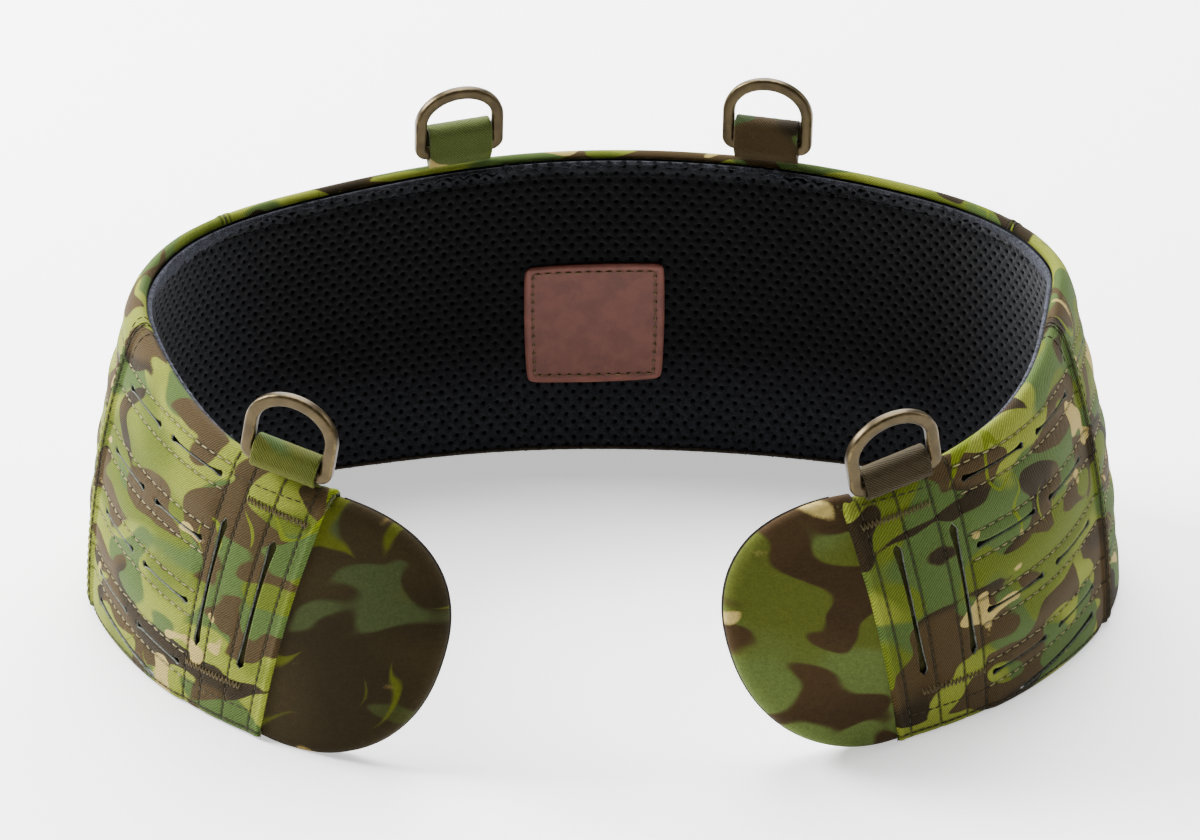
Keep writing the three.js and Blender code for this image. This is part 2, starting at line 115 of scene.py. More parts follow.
EDGE_SLOT_TAPER = 3.0

# Grid of a panel: pitch of its columns, and of its rows where a band isn't even in height
GRID_COLUMN = 1.7
GRID_ROW = 1.3

# Lines of stitches: beside the slot rows, up the hems and channels, beside the seams and along the foot
STITCH_OFFSET = 5.0
UPRIGHT_LINES = (366.3, 375.3, 387.4, 400.4)
SEAM_LINE = 2.0
SEAM_FURROW = 2.4
FOOT_LINE = 2.3
SEAM_MARGIN = 4
BAR_TACKS = (((376.5, 86.6), (402.0, 83.2)), ((366.0, 17.4), (394.0, 17.4)))
TACK_POINTS = 35
TACK_REACH = 1.4
FRAYED_CORNERS = ((93.5, 30), (1.5, 10))  # height, and how many loose threads
LOWEST_FRAY = 0.8

# Thread width and height, stitch length and gap. A negative height stands up on the wearer's side.
SEWING = {
    "row_stitching": (0.62, 0.34, 2.9, 1.3),
    "upright_stitching": (0.55, 0.3, 2.5, 0.8),
    "bar_tacks": (0.46, 0.5, 2.85, 0.02),
    "hem_fray": (0.2, 0.25, 1.4, 0.1),
    "lining_stitching": (0.7, -0.4, 2.4, 1.1),
    "patch_thread": (0.8, -0.65, 2.9, 1.5),
    # dark bars under the patch's threads: painted shade in its needle holes
    "patch_needle_hole_shade": (1.45, -0.42, 1.5, 2.9),
}

# Tongues past the hems
TONGUES = {
    "left": {"side": -1, "length": 57, "drop": 7, "fullness": 2.3},
    "right": {"side": 1, "length": 50, "drop": 3, "fullness": 2.2},
}
TONGUE_HALF = 47
TONGUE_ROLL = 4.4
TONGUE_CROWN = 0.5
EDGE_CORD_RADIUS = 0.95

# Spacer mesh of the lining: pitch of the cells in a row and of the rows, and their wells
MESH_PITCH = 5.65
MESH_ROW = 3.35
WELL_RADIUS = 0.95
WELL_DEPTH = 1.25
LINING_LINE = 6.8  # the lining is sewn down this far below its top edge
LINING_MARGIN = 4.2  # the mesh's cells stop this far inside a tongue's edge
LINING_FULLNESS = 2.25
LINING_SPAN = 1000  # its columns of cells are laid out over this length, before those outside are left out
LINING_ROWS = 42

# Webbing loops and their rings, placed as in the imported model: middle is the place along the belt, lift
# and depth that of the foot on the rim, yaw and lean its turn, rise and out the way from there to the
# ring's bar, eye the length of the eye above the bar, and tilt the ring's own lean outward
LOOPS = {
    "rear_left": dict(middle=-54.2, lift=2.9, depth=5, yaw=2, lean=-4, rise=6.8, out=0, eye=7.6, tilt=-4),
    "rear_right": dict(middle=61.8, lift=2.9, depth=5, yaw=0, lean=1, rise=6.3, out=0, eye=7.3, tilt=1),
    "front_left": dict(middle=-376.2, lift=3.3, depth=3.4, yaw=9, lean=0, rise=4, out=5.4, eye=3.4, tilt=12),
    "front_right": dict(middle=395, lift=3.4, depth=3.4, yaw=-5, lean=0, rise=3, out=6, eye=3.4, tilt=18),
}
WEB_WIDTH = 24.6
WEB_THICKNESS = 1.6
EYE_RADIUS = 2.8
RING = dict(half_width=17.5, leg=13.4, crown=15, wire=4.6, thickness=3.8, corner=5)
RING_SQUARENESS = 3.6
PATCH = dict(middle=-1.6, width=54, low=32, high=84.4, corner=4.5)
PATCH_LINE = 0.88  # its stitch line, as a share of its half width
PATCH_SPAN = 30  # its stitches are drawn on a square of this half width, which is laid over the patch

# Camera in metres, with its lens in millimetres and its tilt down in degrees
CAMERA_PLACE = (-0.00145, -1.43035, 0.7661)
CAMERA_TILT = 25.89
LENS = 129.03

# Floor and light in metres and watts: name, place, target, width and power of each lamp
FLOOR_HALF = 6.0
FLOOR_DROP = 0.0006
FLOOR_GLOW = 0.75
SKY_LIGHT = 0.07
LAMPS = [
    ("top", (0, 0.85, 1.7), (0, 0.05, 0), 1.4, 112),
    ("left", (-1.4, 0.5, 1.0), (-0.1, 0, 0.05), 0.7, 112),
    ("right", (1.5, 0.5, 0.9), (0.1, 0, 0.05), 0.8, 16),
    ("back", (0, 1.7, 0.9), (0, 0.1, 0.08), 1.2, 34),
    ("front", (-0.3, -1.9, 1.3), (0, 0, 0.05), 1.6, 1),
]


def station(column, arc):
    """Catmull-Rom curve through one column of STATIONS. Between rows b and c, with a before and d after
    them and t from 0 to 1, it is b + t/2 (c - a + t (2a - 5b + 4c - d + t (3(b - c) + d - a)))."""
    rows = STATIONS[:, column]
    ends = (2 * rows[0] - rows[1], 2 * rows[-1] - rows[-2])
    rows = np.concatenate([[ends[0]], rows, [ends[1]]])
    last = len(STATIONS) - 1
    place = np.clip((np.asarray(arc, float) - ARC_START) / STATION_STEP, 0, last)
    index = np.minimum(place.astype(int), last - 1)
    a, b, c, d = (rows[index + k] for k in range(4))
    t = place - index
    return b + 0.5 * t * (c - a + t * (2 * a - 5 * b + 4 * c - d + t * (3 * (b - c) + d - a)))


def lower_edge():
    """Plan of the lower edge: the running sum of steps of 1 mm, each (cos, sin) of the heading."""
    marks = np.arange(ARC_START, -ARC_START)
    heading = np.radians(station(TURN, marks + 0.5))
    steps = np.column_stack([np.cos(heading), np.sin(heading)])
    points = np.vstack([np.zeros(2), np.cumsum(steps, axis=0)])
    return points - points[-ARC_START] + ORIGIN_SHIFT


EDGE = lower_edge()
EDGE_ARCS = np.arange(ARC_START, -ARC_START + 1)


def wall_frame(arc):
    """Directions along the belt, up the wall and square to it, and the slip of its inner layers."""
    heading, lean, sweep = (np.radians(station(column, arc)) for column in (TURN, LEAN, SWEEP))
    zero = np.zeros_like(heading)
    along = np.stack([np.cos(heading), np.sin(heading), zero], -1)
    outward = np.stack([-np.sin(heading), np.cos(heading), zero], -1)
    vertical = np.stack([zero, zero, zero + 1], -1)
    cos_lean, sin_lean = np.cos(lean)[..., None], np.sin(lean)[..., None]
    upright = vertical * cos_lean - outward * sin_lean
    up = upright * np.cos(sweep)[..., None] + along * np.sin(sweep)[..., None]
    square = outward * cos_lean + vertical * sin_lean
    return along, up, square, np.tan(lean) / np.cos(sweep)


def wall(arc, height, depth):
    """Point of the belt: foot(arc) + up (height + depth slip (1 - share)) + square (bulge - depth), where
    share is the height as a share of the wall's and the bulge is 4 WALL_BULGE share (1 - share)."""
    arc, height, depth = np.broadcast_arrays(*(np.asarray(v, float) for v in (arc, height, depth)))
    _, up, square, slip = wall_frame(arc)
    foot = np.stack([np.interp(arc, EDGE_ARCS, EDGE[:, k]) for k in (0, 1)] + [np.zeros_like(arc)], -1)
    share = np.clip(height / station(RISE, arc), 0, 1)
    bulge = WALL_BULGE * 4 * share * (1 - share)
    rise = height + depth * slip * (1 - share)
    return foot + up * rise[..., None] + square * (bulge - depth)[..., None]


def rolled(arc, travel, proud=0.0):
    """Point of the laminate's outer face a travel up from the floor: straight up the wall, then over the
    rim on an ellipse (RIM_DEPTH (1 - cos), RIM_HEIGHT sin), standing proud along the local normal."""
    start = station(RISE, arc) - RIM_START
    turn = np.clip((travel - start) / RIM_REACH, 0, RIM_TURN)
    height = np.minimum(travel, start) + (RIM_HEIGHT + proud) * np.sin(turn)
    depth = RIM_DEPTH * (1 - np.cos(turn)) - proud * np.cos(turn)
    return wall(arc, height, depth)


def full_travel(arc):
    """Travel at which the laminate ends, rolled over the rim."""
    return station(RISE, arc) - RIM_START + RIM_REACH * RIM_TURN


def smooth(value, low, high):
    """Smoothstep: 0 below low, 1 above high, t t (3 - 2t) between."""
    t = np.clip((value - low) / (high - low), 0, 1)
    return t * t * (3 - 2 * t)


def unit(vectors):
    """Vectors over their lengths."""
    return vectors / np.linalg.norm(vectors, axis=-1, keepdims=True)


def new_piece(name, points, faces, coords, materials, body="belt", slot=None, replaces=(), **marks):
    """A mesh from an array of points in millimetres, arrays of quads or triangles, and the flat cloth
    coordinates of each point. marks are values for each point that its material may read by name."""
    points = points.reshape(-1, 3)
    coords = coords.reshape(-1, 2)
    faces = [f for f in (faces if isinstance(faces, list) else [faces]) if len(f)]
    corners = np.concatenate([f.ravel() for f in faces]).astype(np.int32)
    sizes = np.concatenate([np.full(len(f), f.shape[1]) for f in faces])
    starts = np.concatenate([[0], np.cumsum(sizes)[:-1]]).astype(np.int32)
    used, corners = np.unique(corners, return_inverse=True)
    corners = corners.ravel().astype(np.int32)
    mesh = bpy.data.meshes.new(name)
    mesh.vertices.add(len(used))
    mesh.vertices.foreach_set("co", (points[used] * MM).astype(np.float32).ravel())
    mesh.loops.add(len(corners))
    mesh.loops.foreach_set("vertex_index", corners)
    mesh.polygons.add(len(sizes))
    mesh.polygons.foreach_set("loop_start", starts)
    mesh.update(calc_edges=True)
    mesh.polygons.foreach_set("use_smooth", np.ones(len(sizes), bool))
    layer = mesh.uv_layers.new(name="cloth")
    layer.data.foreach_set("uv", (coords[used][corners] * UV_SCALE).astype(np.float32).ravel())
    for label, values in marks.items():
        attribute = mesh.attributes.new(label, "FLOAT", "POINT")
        attribute.data.foreach_set("value", values.reshape(-1)[used].astype(np.float32))
    for material in materials if isinstance(materials, list) else [materials]:
        mesh.materials.append(material)
    made = bpy.data.objects.new(name, mesh)
    bpy.context.scene.collection.objects.link(made)
    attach(made, body)
    if replaces:
        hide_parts(*replaces)
    return made


def grid_faces(rows, columns, wrap_rows=False, wrap_columns=False, flip=False):
    """Quads of a grid of points, row by row, that may close on itself either way."""
    r = np.arange(rows if wrap_rows else rows - 1)[:, None]
    c = np.arange(columns if wrap_columns else columns - 1)[None, :]
    next_r = (r + 1) % rows
    next_c = (c + 1) % columns
    quads = [r * columns + c, next_r * columns + c, next_r * columns + next_c, r * columns + next_c]
    quads = np.stack(np.broadcast_arrays(*quads), -1).reshape(-1, 4)
    return quads[:, ::-1] if flip else quads


def solidify(piece, thickness, rim_material=0):
    """Gives a surface its wall, inward from the face that was drawn."""
    made = piece.modifiers.new("wall", "SOLIDIFY")
    made.thickness = thickness * MM
    made.offset = -1
    made.material_offset_rim = rim_material


# Materials


def add(tree, kind, inputs=(), **settings):
    """A node with its settings and inputs: each input is a value, or a socket to link."""
    made = tree.nodes.new(kind)
    for key, value in settings.items():
        setattr(made, key, value)
    for key, value in dict(inputs).items():
        if isinstance(value, bpy.types.NodeSocket):
            tree.links.new(value, made.inputs[key])
        else:
            made.inputs[key].default_value = value
    return made


def use_group(tree, group, inputs):
    """A node that holds a group, with its inputs."""
    return add(tree, "ShaderNodeGroup", inputs, node_tree=group)


def maths(tree, operation, a, b=0.0, c=0.0):
    """Result of one operation on values."""
    return add(tree, "ShaderNodeMath", {0: a, 1: b, 2: c}, operation=operation).outputs[0]


def mix(tree, share, a, b, blend="MIX"):
    """Colour a turned to b by a share."""
    made = add(tree, "ShaderNodeMix", {0: share, 6: a, 7: b}, data_type="RGBA", blend_type=blend)
    return made.outputs[2]


def shaded(tree, colour, shade):
    """A colour multiplied by a shade."""
    grey = add(tree, "ShaderNodeCombineXYZ", {"X": shade, "Y": shade, "Z": shade}).outputs[0]
    return mix(tree, 1.0, colour, grey, "MULTIPLY")


def step(tree, value, low, high):
    """0 where the value is below low, 1 above high, smooth between."""
    inputs = {0: value, 1: low, 2: high, 3: 0.0, 4: 1.0}
    return add(tree, "ShaderNodeMapRange", inputs, interpolation_type="SMOOTHSTEP").outputs[0]


def noise(tree, vector, scale, detail=0.0, roughness=0.5, distortion=0.0):
    """Value of a noise, from 0 to 1 about a half."""
    inputs = dict(Vector=vector, Scale=scale, Detail=detail, Roughness=roughness, Distortion=distortion)
    return add(tree, "ShaderNodeTexNoise", inputs).outputs["Fac"]


def rgb(red, green, blue):
    """A colour from its sRGB bytes, as linear light: ((c + 0.055) / 1.055) ** 2.4."""
    linear = [((c / 255 + 0.055) / 1.055) ** 2.4 if c > 10 else c / 255 / 12.92 for c in (red, green, blue)]
    return (*linear, 1.0)


def new_group(name, inputs, outputs):
    """A shader node group with its sockets, and its input and output nodes."""
    tree = bpy.data.node_groups.new(name, "ShaderNodeTree")
    for label, kind, value in inputs:
        socket = tree.interface.new_socket(label, in_out="INPUT", socket_type="NodeSocket" + kind)
        if value is not None:
            socket.default_value = value
    for label, kind in outputs:
        tree.interface.new_socket(label, in_out="OUTPUT", socket_type="NodeSocket" + kind)
    return tree, tree.nodes.new("NodeGroupInput"), tree.nodes.new("NodeGroupOutput")


def camouflage_group():
    """Generic woodland camouflage: a base that drifts between two greens, soft patches of a third, and
    rounded blots of brown, dark brown and tan with thin lime twigs, each cut from its own noise."""
    colours = [
        ("Light", rgb(114, 122, 39)),
        ("Lime", rgb(80, 91, 20)),
        ("Sage", rgb(66, 84, 38)),
        ("Brown", rgb(62, 49, 26)),
        ("Dark", rgb(38, 30, 15)),
        ("Tan", rgb(160, 142, 82)),
        ("Twig", rgb(92, 104, 10)),
    ]
    numbers = [("Brown Cover", 0.5), ("Tan Cover", 0.16), ("Sage Cover", 0.5), ("Twig Cover", 0.1)]
    numbers += [("Size", 1.0), ("Blur", 1.0), ("Seed", 0.0)]
    inputs = [("Cloth", "Vector", None)]
    inputs += [(label, "Color", value) for label, value in colours]
    inputs += [(label, "Float", value) for label, value in numbers]
    tree, given, result = new_group("camouflage", inputs, [("Color", "Color")])
    seed = maths(tree, "MULTIPLY", given.outputs["Seed"], 7.31)
    offset = add(tree, "ShaderNodeCombineXYZ", {"X": seed, "Y": seed, "Z": seed}).outputs[0]
    fitted = add(
        tree,
        "ShaderNodeVectorMath",
        {0: given.outputs["Cloth"], "Scale": maths(tree, "DIVIDE", 1.0, given.outputs["Size"])},
        operation="SCALE",
    ).outputs[0]

    def stretched(x, y, shift, turn=0.0):
        """The cloth, scaled, turned and moved for one noise, and moved again by the seed."""
        scaled = add(
            tree,
            "ShaderNodeMapping",
            {"Vector": fitted, "Scale": (x, y, 1), "Rotation": (0, 0, turn), "Location": shift},
        ).outputs[0]
        return add(tree, "ShaderNodeVectorMath", {0: scaled, 1: offset}, operation="ADD").outputs[0]

    def cover(name, full, none):
        """Threshold of a noise for a share of cover."""
        return maths(tree, "MULTIPLY_ADD", given.outputs[name], full - none, none)

    def blot(vector, scale, threshold, edge, distortion=0.0, detail=0.0):
        """1 where a noise passes its threshold, with an edge that Blur widens."""
        value = maths(tree, "ADD", noise(tree, vector, scale, detail, 0.4, distortion), frayed)
        width = maths(tree, "MULTIPLY", given.outputs["Blur"], edge)
        low = maths(tree, "SUBTRACT", threshold, width)
        high = maths(tree, "ADD", threshold, width)
        return step(tree, value, low, high)

    frayed = maths(tree, "MULTIPLY_ADD", noise(tree, given.outputs["Cloth"], 9.0, 2.0, 0.6), 0.024, -0.012)
    base = noise(tree, stretched(0.8, 1.1, (3.1, 1.7, 0.3)), 0.22, 1.0)
    colour = mix(tree, step(tree, base, 0.47, 0.55), given.outputs["Light"], given.outputs["Lime"])
    sage = blot(stretched(0.9, 1.3, (9.2, 4.1, 2.2)), 0.34, cover("Sage Cover", 0.3, 0.74), 0.022, 0.5)
    colour = mix(tree, sage, colour, given.outputs["Sage"])
    field = noise(tree, stretched(0.5, 0.35, (6.6, 2.9, 5.0), 0.5), 0.8, 0.0, 0.4, 1.4)
    near = maths(tree, "ABSOLUTE", maths(tree, "SUBTRACT", field, 0.5))
    patchy = noise(tree, stretched(0.7, 1.0, (1.3, 8.4, 7.7)), 0.28)
    spare = maths(tree, "MULTIPLY", cover("Twig Cover", 0.16, 0.36), -1.0)
    width = maths(tree, "MULTIPLY_ADD", patchy, 0.5, spare)
    near = maths(tree, "ADD", maths(tree, "SUBTRACT", near, width), frayed)
    soft_edge = maths(tree, "MULTIPLY", given.outputs["Blur"], 0.012)
    twig = maths(tree, "SUBTRACT", 1.0, step(tree, near, 0.0, soft_edge))
    brown_cover = cover("Brown Cover", 0.3, 0.76)
    brown = blot(stretched(0.8, 1.35, (2.4, 6.1, 9.4)), 0.42, brown_cover, 0.01, 0.9, 0.6)
    colour = mix(tree, brown, colour, given.outputs["Brown"])
    dark = blot(stretched(0.75, 1.25, (7.7, 0.9, 4.4)), 0.3, cover("Brown Cover", 0.4, 0.66), 0.05, 0.4)
    colour = mix(tree, maths(tree, "MULTIPLY", brown, dark), colour, given.outputs["Dark"])
    colour = mix(tree, twig, colour, given.outputs["Twig"])
    tan = blot(stretched(1.0, 1.2, (5.2, 3.3, 1.1)), 0.55, cover("Tan Cover", 0.5, 0.8), 0.009, 0.7)
    colour = mix(tree, tan, colour, given.outputs["Tan"])
    mottle = noise(tree, given.outputs["Cloth"], 9.0, 4.0, 0.7)
    shade = maths(tree, "MULTIPLY_ADD", mottle, 0.8, 0.6)
    tree.links.new(shaded(tree, colour, shade), result.inputs["Color"])
    return tree


def twill_group():
    """Twill weave: diagonal ribs sin(2 pi ribs (u + v)), each broken by crossing threads, with a little
    drift so that no two ribs are alike. Height is for bump; Shade is painted shade in the furrows and a
    painted highlight on the ribs."""
    inputs = [("Cloth", "Vector", None), ("Ribs", "Float", 14.0), ("Slant", "Float", 1.0)]
    outputs = [("Height", "Float"), ("Shade", "Float")]
    tree, given, result = new_group("twill", inputs, outputs)
    apart = add(tree, "ShaderNodeSeparateXYZ", {0: given.outputs["Cloth"]})
    drift = maths(tree, "MULTIPLY", noise(tree, given.outputs["Cloth"], 3.0, 2.0), 0.12)
    slanted = maths(tree, "MULTIPLY", apart.outputs[1], given.outputs["Slant"])
    across = maths(tree, "ADD", apart.outputs[0], slanted)
    across = maths(tree, "ADD", across, drift)
    turn = maths(tree, "MULTIPLY", maths(tree, "MULTIPLY", across, given.outputs["Ribs"]), 2 * math.pi)
    rib = maths(tree, "MULTIPLY_ADD", maths(tree, "SINE", turn), 0.5, 0.5)
    crossing = maths(tree, "MULTIPLY", apart.outputs[0], given.outputs["Ribs"])
    cross = maths(tree, "MULTIPLY", crossing, 4 * math.pi)
    thread = maths(tree, "MULTIPLY_ADD", maths(tree, "SINE", cross), 0.5, 0.5)
    height = maths(tree, "MULTIPLY_ADD", rib, 0.75, maths(tree, "MULTIPLY", thread, 0.25))
    tree.links.new(height, result.inputs["Height"])
    # Shade: painted shade in the furrows (0.5) up to a painted highlight on the ribs (1.3)
    tree.links.new(maths(tree, "MULTIPLY_ADD", height, 0.8, 0.5), result.inputs["Shade"])
    return tree


def fuzz_group():
    """Short fibres: fine noise over coarse. Height is for bump; Shade is painted shade between the fibres
    and a painted highlight on their ends.
    """
    inputs = [("Cloth", "Vector", None), ("Density", "Float", 40.0)]
    tree, given, result = new_group("fuzz", inputs, [("Height", "Float"), ("Shade", "Float")])
    fine = noise(tree, given.outputs["Cloth"], given.outputs["Density"], 3.0, 0.7)
    coarse = noise(tree, given.outputs["Cloth"], 4.0, 2.0, 0.6)
    height = maths(tree, "MULTIPLY_ADD", fine, 0.7, maths(tree, "MULTIPLY", coarse, 0.3))
    tree.links.new(height, result.inputs["Height"])
    # Shade: painted shade low among the fibres, painted highlight on their ends
    tree.links.new(maths(tree, "MULTIPLY_ADD", height, 1.3, 0.35), result.inputs["Shade"])
    return tree


def sewn_group():
    """Lines that the panels are sewn along, pressed into the cloth: pairs about each slot row, the lines
    up the hems and channels, each seam and both its sides, and the lower edge. Groove is 1 along a line,
    where the cloth is pressed in and darkened as painted shade, and Fold is 1 along the turned edge of each
    hem."""
    outputs = [("Groove", "Float"), ("Fold", "Float")]
    tree, given, result = new_group("sewn_lines", [("Cloth", "Vector", None)], outputs)
    apart = add(tree, "ShaderNodeSeparateXYZ", {0: given.outputs["Cloth"]})
    side = maths(tree, "ABSOLUTE", apart.outputs[0])
    height = apart.outputs[1]
    k = UV_SCALE

    def distance(value, line):
        """How far a value is from a line given in millimetres."""
        return maths(tree, "ABSOLUTE", maths(tree, "SUBTRACT", value, line * k))

    reach = maths(tree, "SUBTRACT", FIRST_ROW["start"] * k, side)
    reach = maths(tree, "MINIMUM", reach, FIRST_ROW["most"] * k)
    reach = maths(tree, "MAXIMUM", reach, FIRST_ROW["least"] * k)
    lowest = maths(tree, "MULTIPLY_ADD", reach, FIRST_ROW["slope"], FIRST_ROW["height"] * k)
    over = maths(tree, "SUBTRACT", height, lowest)
    phase = maths(tree, "FLOORED_MODULO", over, ROW_PITCH * k)
    nearest = distance(phase, STITCH_OFFSET)
    nearest = maths(tree, "MINIMUM", nearest, distance(phase, ROW_PITCH - STITCH_OFFSET))
    top = maths(tree, "SUBTRACT", over, ((ROWS - 1) * ROW_PITCH + STITCH_OFFSET) * k)
    nearest = maths(tree, "MAXIMUM", nearest, top)
    nearest = maths(tree, "MAXIMUM", nearest, maths(tree, "SUBTRACT", side, ROW_END * k))
    for line in UPRIGHT_LINES:
        nearest = maths(tree, "MINIMUM", nearest, distance(side, line))
    for seam in (BACK_SEAM, HIP_SEAM):
        beside = distance(side, seam)
        nearest = maths(tree, "MINIMUM", nearest, distance(beside, SEAM_FURROW))
        nearest = maths(tree, "MINIMUM", nearest, beside)
    nearest = maths(tree, "MINIMUM", nearest, distance(height, FOOT_LINE))
    # Groove, 1 on the stitched lines: read as bump, and as painted shade in the grooves
    groove = maths(tree, "SUBTRACT", 1.0, step(tree, nearest, 0.2 * k, 0.95 * k))
    tree.links.new(groove, result.inputs["Groove"])
    fold = step(tree, side, (HEM - HEM_FOLD[0]) * k, (HEM - HEM_FOLD[1]) * k)
    tree.links.new(fold, result.inputs["Fold"])
    return tree


CAMOUFLAGE = camouflage_group()
TWILL = twill_group()
FUZZ = fuzz_group()
SEWN = sewn_group()


def new_material(name, roughness, gloss=0.06, **fixed):
    """A material with its tree, its shader and the cloth coordinates of its piece."""
    made = bpy.data.materials.new(name)
    made.use_nodes = True
    tree = made.node_tree
    shader = tree.nodes["Principled BSDF"]
    shader.inputs["Roughness"].default_value = roughness
    shader.inputs["Specular IOR Level"].default_value = gloss
    for key, value in fixed.items():
        shader.inputs[key.replace("_", " ").title()].default_value = value
    cloth = add(tree, "ShaderNodeUVMap", uv_map="cloth").outputs[0]
    return made, tree, shader, cloth


def bumped(tree, shader, height, strength, distance=0.3):
    """Feeds a height to the shader as bump, the distance in millimetres."""
    bump = add(tree, "ShaderNodeBump", {"Height": height, "Strength": strength, "Distance": distance * MM})
    tree.links.new(bump.outputs[0], shader.inputs["Normal"])


def camouflage_cloth(
    name, weave, pattern, fineness=8.5, strength=0.7, roughness=0.75, sheen=0.03, sewn=False
):
    """Printed cloth with a twill or a fuzzy face, pressed in along its sewn lines and darkened there as
    painted shade. Fineness is the count of a twill's ribs or the density of a fuzzy face."""
    made, tree, shader, cloth = new_material(name, roughness, sheen_weight=sheen, sheen_roughness=0.5)
    printed = use_group(tree, CAMOUFLAGE, {"Cloth": cloth, **pattern}).outputs["Color"]
    face = use_group(tree, weave, {"Cloth": cloth, "Ribs" if weave is TWILL else "Density": fineness})
    # the face's painted shade and highlight, from its weave or fibres
    shade = face.outputs["Shade"]
    height = face.outputs["Height"]
    if sewn:
        lines = use_group(tree, SEWN, {"Cloth": cloth})
        groove = lines.outputs["Groove"]
        # painted shade: the cloth darkens along its stitched grooves
        shade = maths(tree, "MULTIPLY", shade, maths(tree, "MULTIPLY_ADD", groove, -0.55, 1.0))
        shade = maths(tree, "MULTIPLY", shade, maths(tree, "MULTIPLY_ADD", lines.outputs["Fold"], 0.3, 1.0))
        height = maths(tree, "MULTIPLY_ADD", groove, -1.5, height)
    tree.links.new(shaded(tree, printed, shade), shader.inputs["Base Color"])
    bumped(tree, shader, height, strength)
    return made


def plain_cloth(name, low, high, density=30.0, strength=0.5, roughness=0.9, sheen=0.1):
    """Dyed cloth or thread: two tones mixed by its fibres."""
    made, tree, shader, cloth = new_material(name, roughness, sheen_weight=sheen)
    face = use_group(tree, FUZZ, {"Cloth": cloth, "Density": density})
    tone = mix(tree, step(tree, face.outputs["Height"], 0.35, 0.65), low, high)
    tree.links.new(tone, shader.inputs["Base Color"])
    bumped(tree, shader, face.outputs["Height"], strength)
    return made


def border_material():
    """Pressed edge of the spacer mesh: dark fibres, turning indigo-grey toward the sides of the belt as
    painted sheen.
    """
    made, tree, shader, cloth = new_material("lining_border", 0.95, sheen_weight=0.1)
    rubbed = add(tree, "ShaderNodeAttribute", attribute_name="rubbed").outputs["Fac"]
    face = use_group(tree, FUZZ, {"Cloth": cloth, "Density": 16.0})
    fibres = step(tree, face.outputs["Height"], 0.38, 0.66)
    # the indigo-grey toward the sides is painted sheen
    low = mix(tree, rubbed, rgb(6, 6, 7), rgb(22, 22, 27))
    high = mix(tree, rubbed, rgb(26, 26, 29), rgb(84, 87, 100))
    tree.links.new(mix(tree, fibres, low, high), shader.inputs["Base Color"])
    bumped(tree, shader, face.outputs["Height"], 1.0, 0.9)
    return made


def lining_material():
    """Black spacer mesh: knitted ridges between its wells, which go black toward their floor as painted
    shade. The knit turns to lighter grey fluff along its fuzzy top edge, partly painted sheen there, as
    painted sheen toward the sides, and toward the floor.
    """
    made, tree, shader, cloth = new_material("lining_mesh", 0.8, sheen_weight=0.15, sheen_roughness=0.4)
    well = add(tree, "ShaderNodeAttribute", attribute_name="well").outputs["Fac"]
    rubbed = add(tree, "ShaderNodeAttribute", attribute_name="rubbed").outputs["Fac"]
    face = use_group(tree, FUZZ, {"Cloth": cloth, "Density": 26.0})
    fibres = step(tree, face.outputs["Height"], 0.35, 0.7)
    knit = mix(tree, fibres, rgb(3, 3, 3), rgb(20, 20, 21))
    fluff = mix(tree, fibres, rgb(24, 25, 27), rgb(76, 78, 86))
    # lighter grey fluff: the fuzzy top edge, partly painted sheen; painted sheen toward the sides; lighter
    # toward the floor
    knit = mix(tree, rubbed, knit, fluff)
    # painted shade: each well goes black toward its floor
    tree.links.new(mix(tree, well, knit, rgb(1, 1, 1)), shader.inputs["Base Color"])
    bumped(tree, shader, face.outputs["Height"], 0.8, 0.4)
    return made


def ring_material():
    """Bronze-brown enamel: fine speckle, and a worn lighter edge where the shade attribute is high."""
    made, tree, shader, _ = new_material("ring_enamel", 0.36, gloss=0.3, metallic=0.75)
    place = add(tree, "ShaderNodeTexCoord").outputs["Object"]
    edge = add(tree, "ShaderNodeAttribute", attribute_name="shade").outputs["Fac"]
    speckle = noise(tree, place, 2400.0, 3.0, 0.6)
    cloud = noise(tree, place, 170.0, 2.0, 0.5)
    tone = mix(tree, step(tree, cloud, 0.3, 0.7), rgb(52, 43, 26), rgb(66, 56, 35))
    worn = maths(tree, "MULTIPLY", edge, step(tree, noise(tree, place, 420.0, 2.0), 0.35, 0.7))
    tone = mix(tree, maths(tree, "MULTIPLY", worn, 0.35), tone, rgb(138, 118, 78))
    tree.links.new(tone, shader.inputs["Base Color"])
    tree.links.new(maths(tree, "MULTIPLY_ADD", speckle, 0.16, 0.28), shader.inputs["Roughness"])
    bumped(tree, shader, speckle, 0.08, 0.05)
    return made


def leather_material():
    """Reddish-brown leather: pebbled grain, cloudy tone and darker pressed places."""
    made, tree, shader, cloth = new_material("patch_leather", 0.5, gloss=0.25)
    pressed = add(tree, "ShaderNodeAttribute", attribute_name="shade").outputs["Fac"]
    cloud = noise(tree, cloth, 1.1, 4.0, 0.6)
    grain = add(tree, "ShaderNodeTexVoronoi", {"Vector": cloth, "Scale": 17.0}).outputs["Distance"]
    fine = noise(tree, cloth, 60.0, 3.0, 0.6)
    tone = mix(tree, step(tree, cloud, 0.3, 0.7), rgb(98, 56, 46), rgb(118, 70, 58))
    tone = mix(tree, maths(tree, "MULTIPLY", pressed, 0.55), tone, rgb(66, 38, 31))
    tree.links.new(tone, shader.inputs["Base Color"])
    height = maths(tree, "MULTIPLY_ADD", fine, 0.4, maths(tree, "MULTIPLY", grain, 0.6))
    tree.links.new(maths(tree, "MULTIPLY_ADD", cloud, 0.2, 0.42), shader.inputs["Roughness"])
    bumped(tree, shader, height, 0.35)
    return made


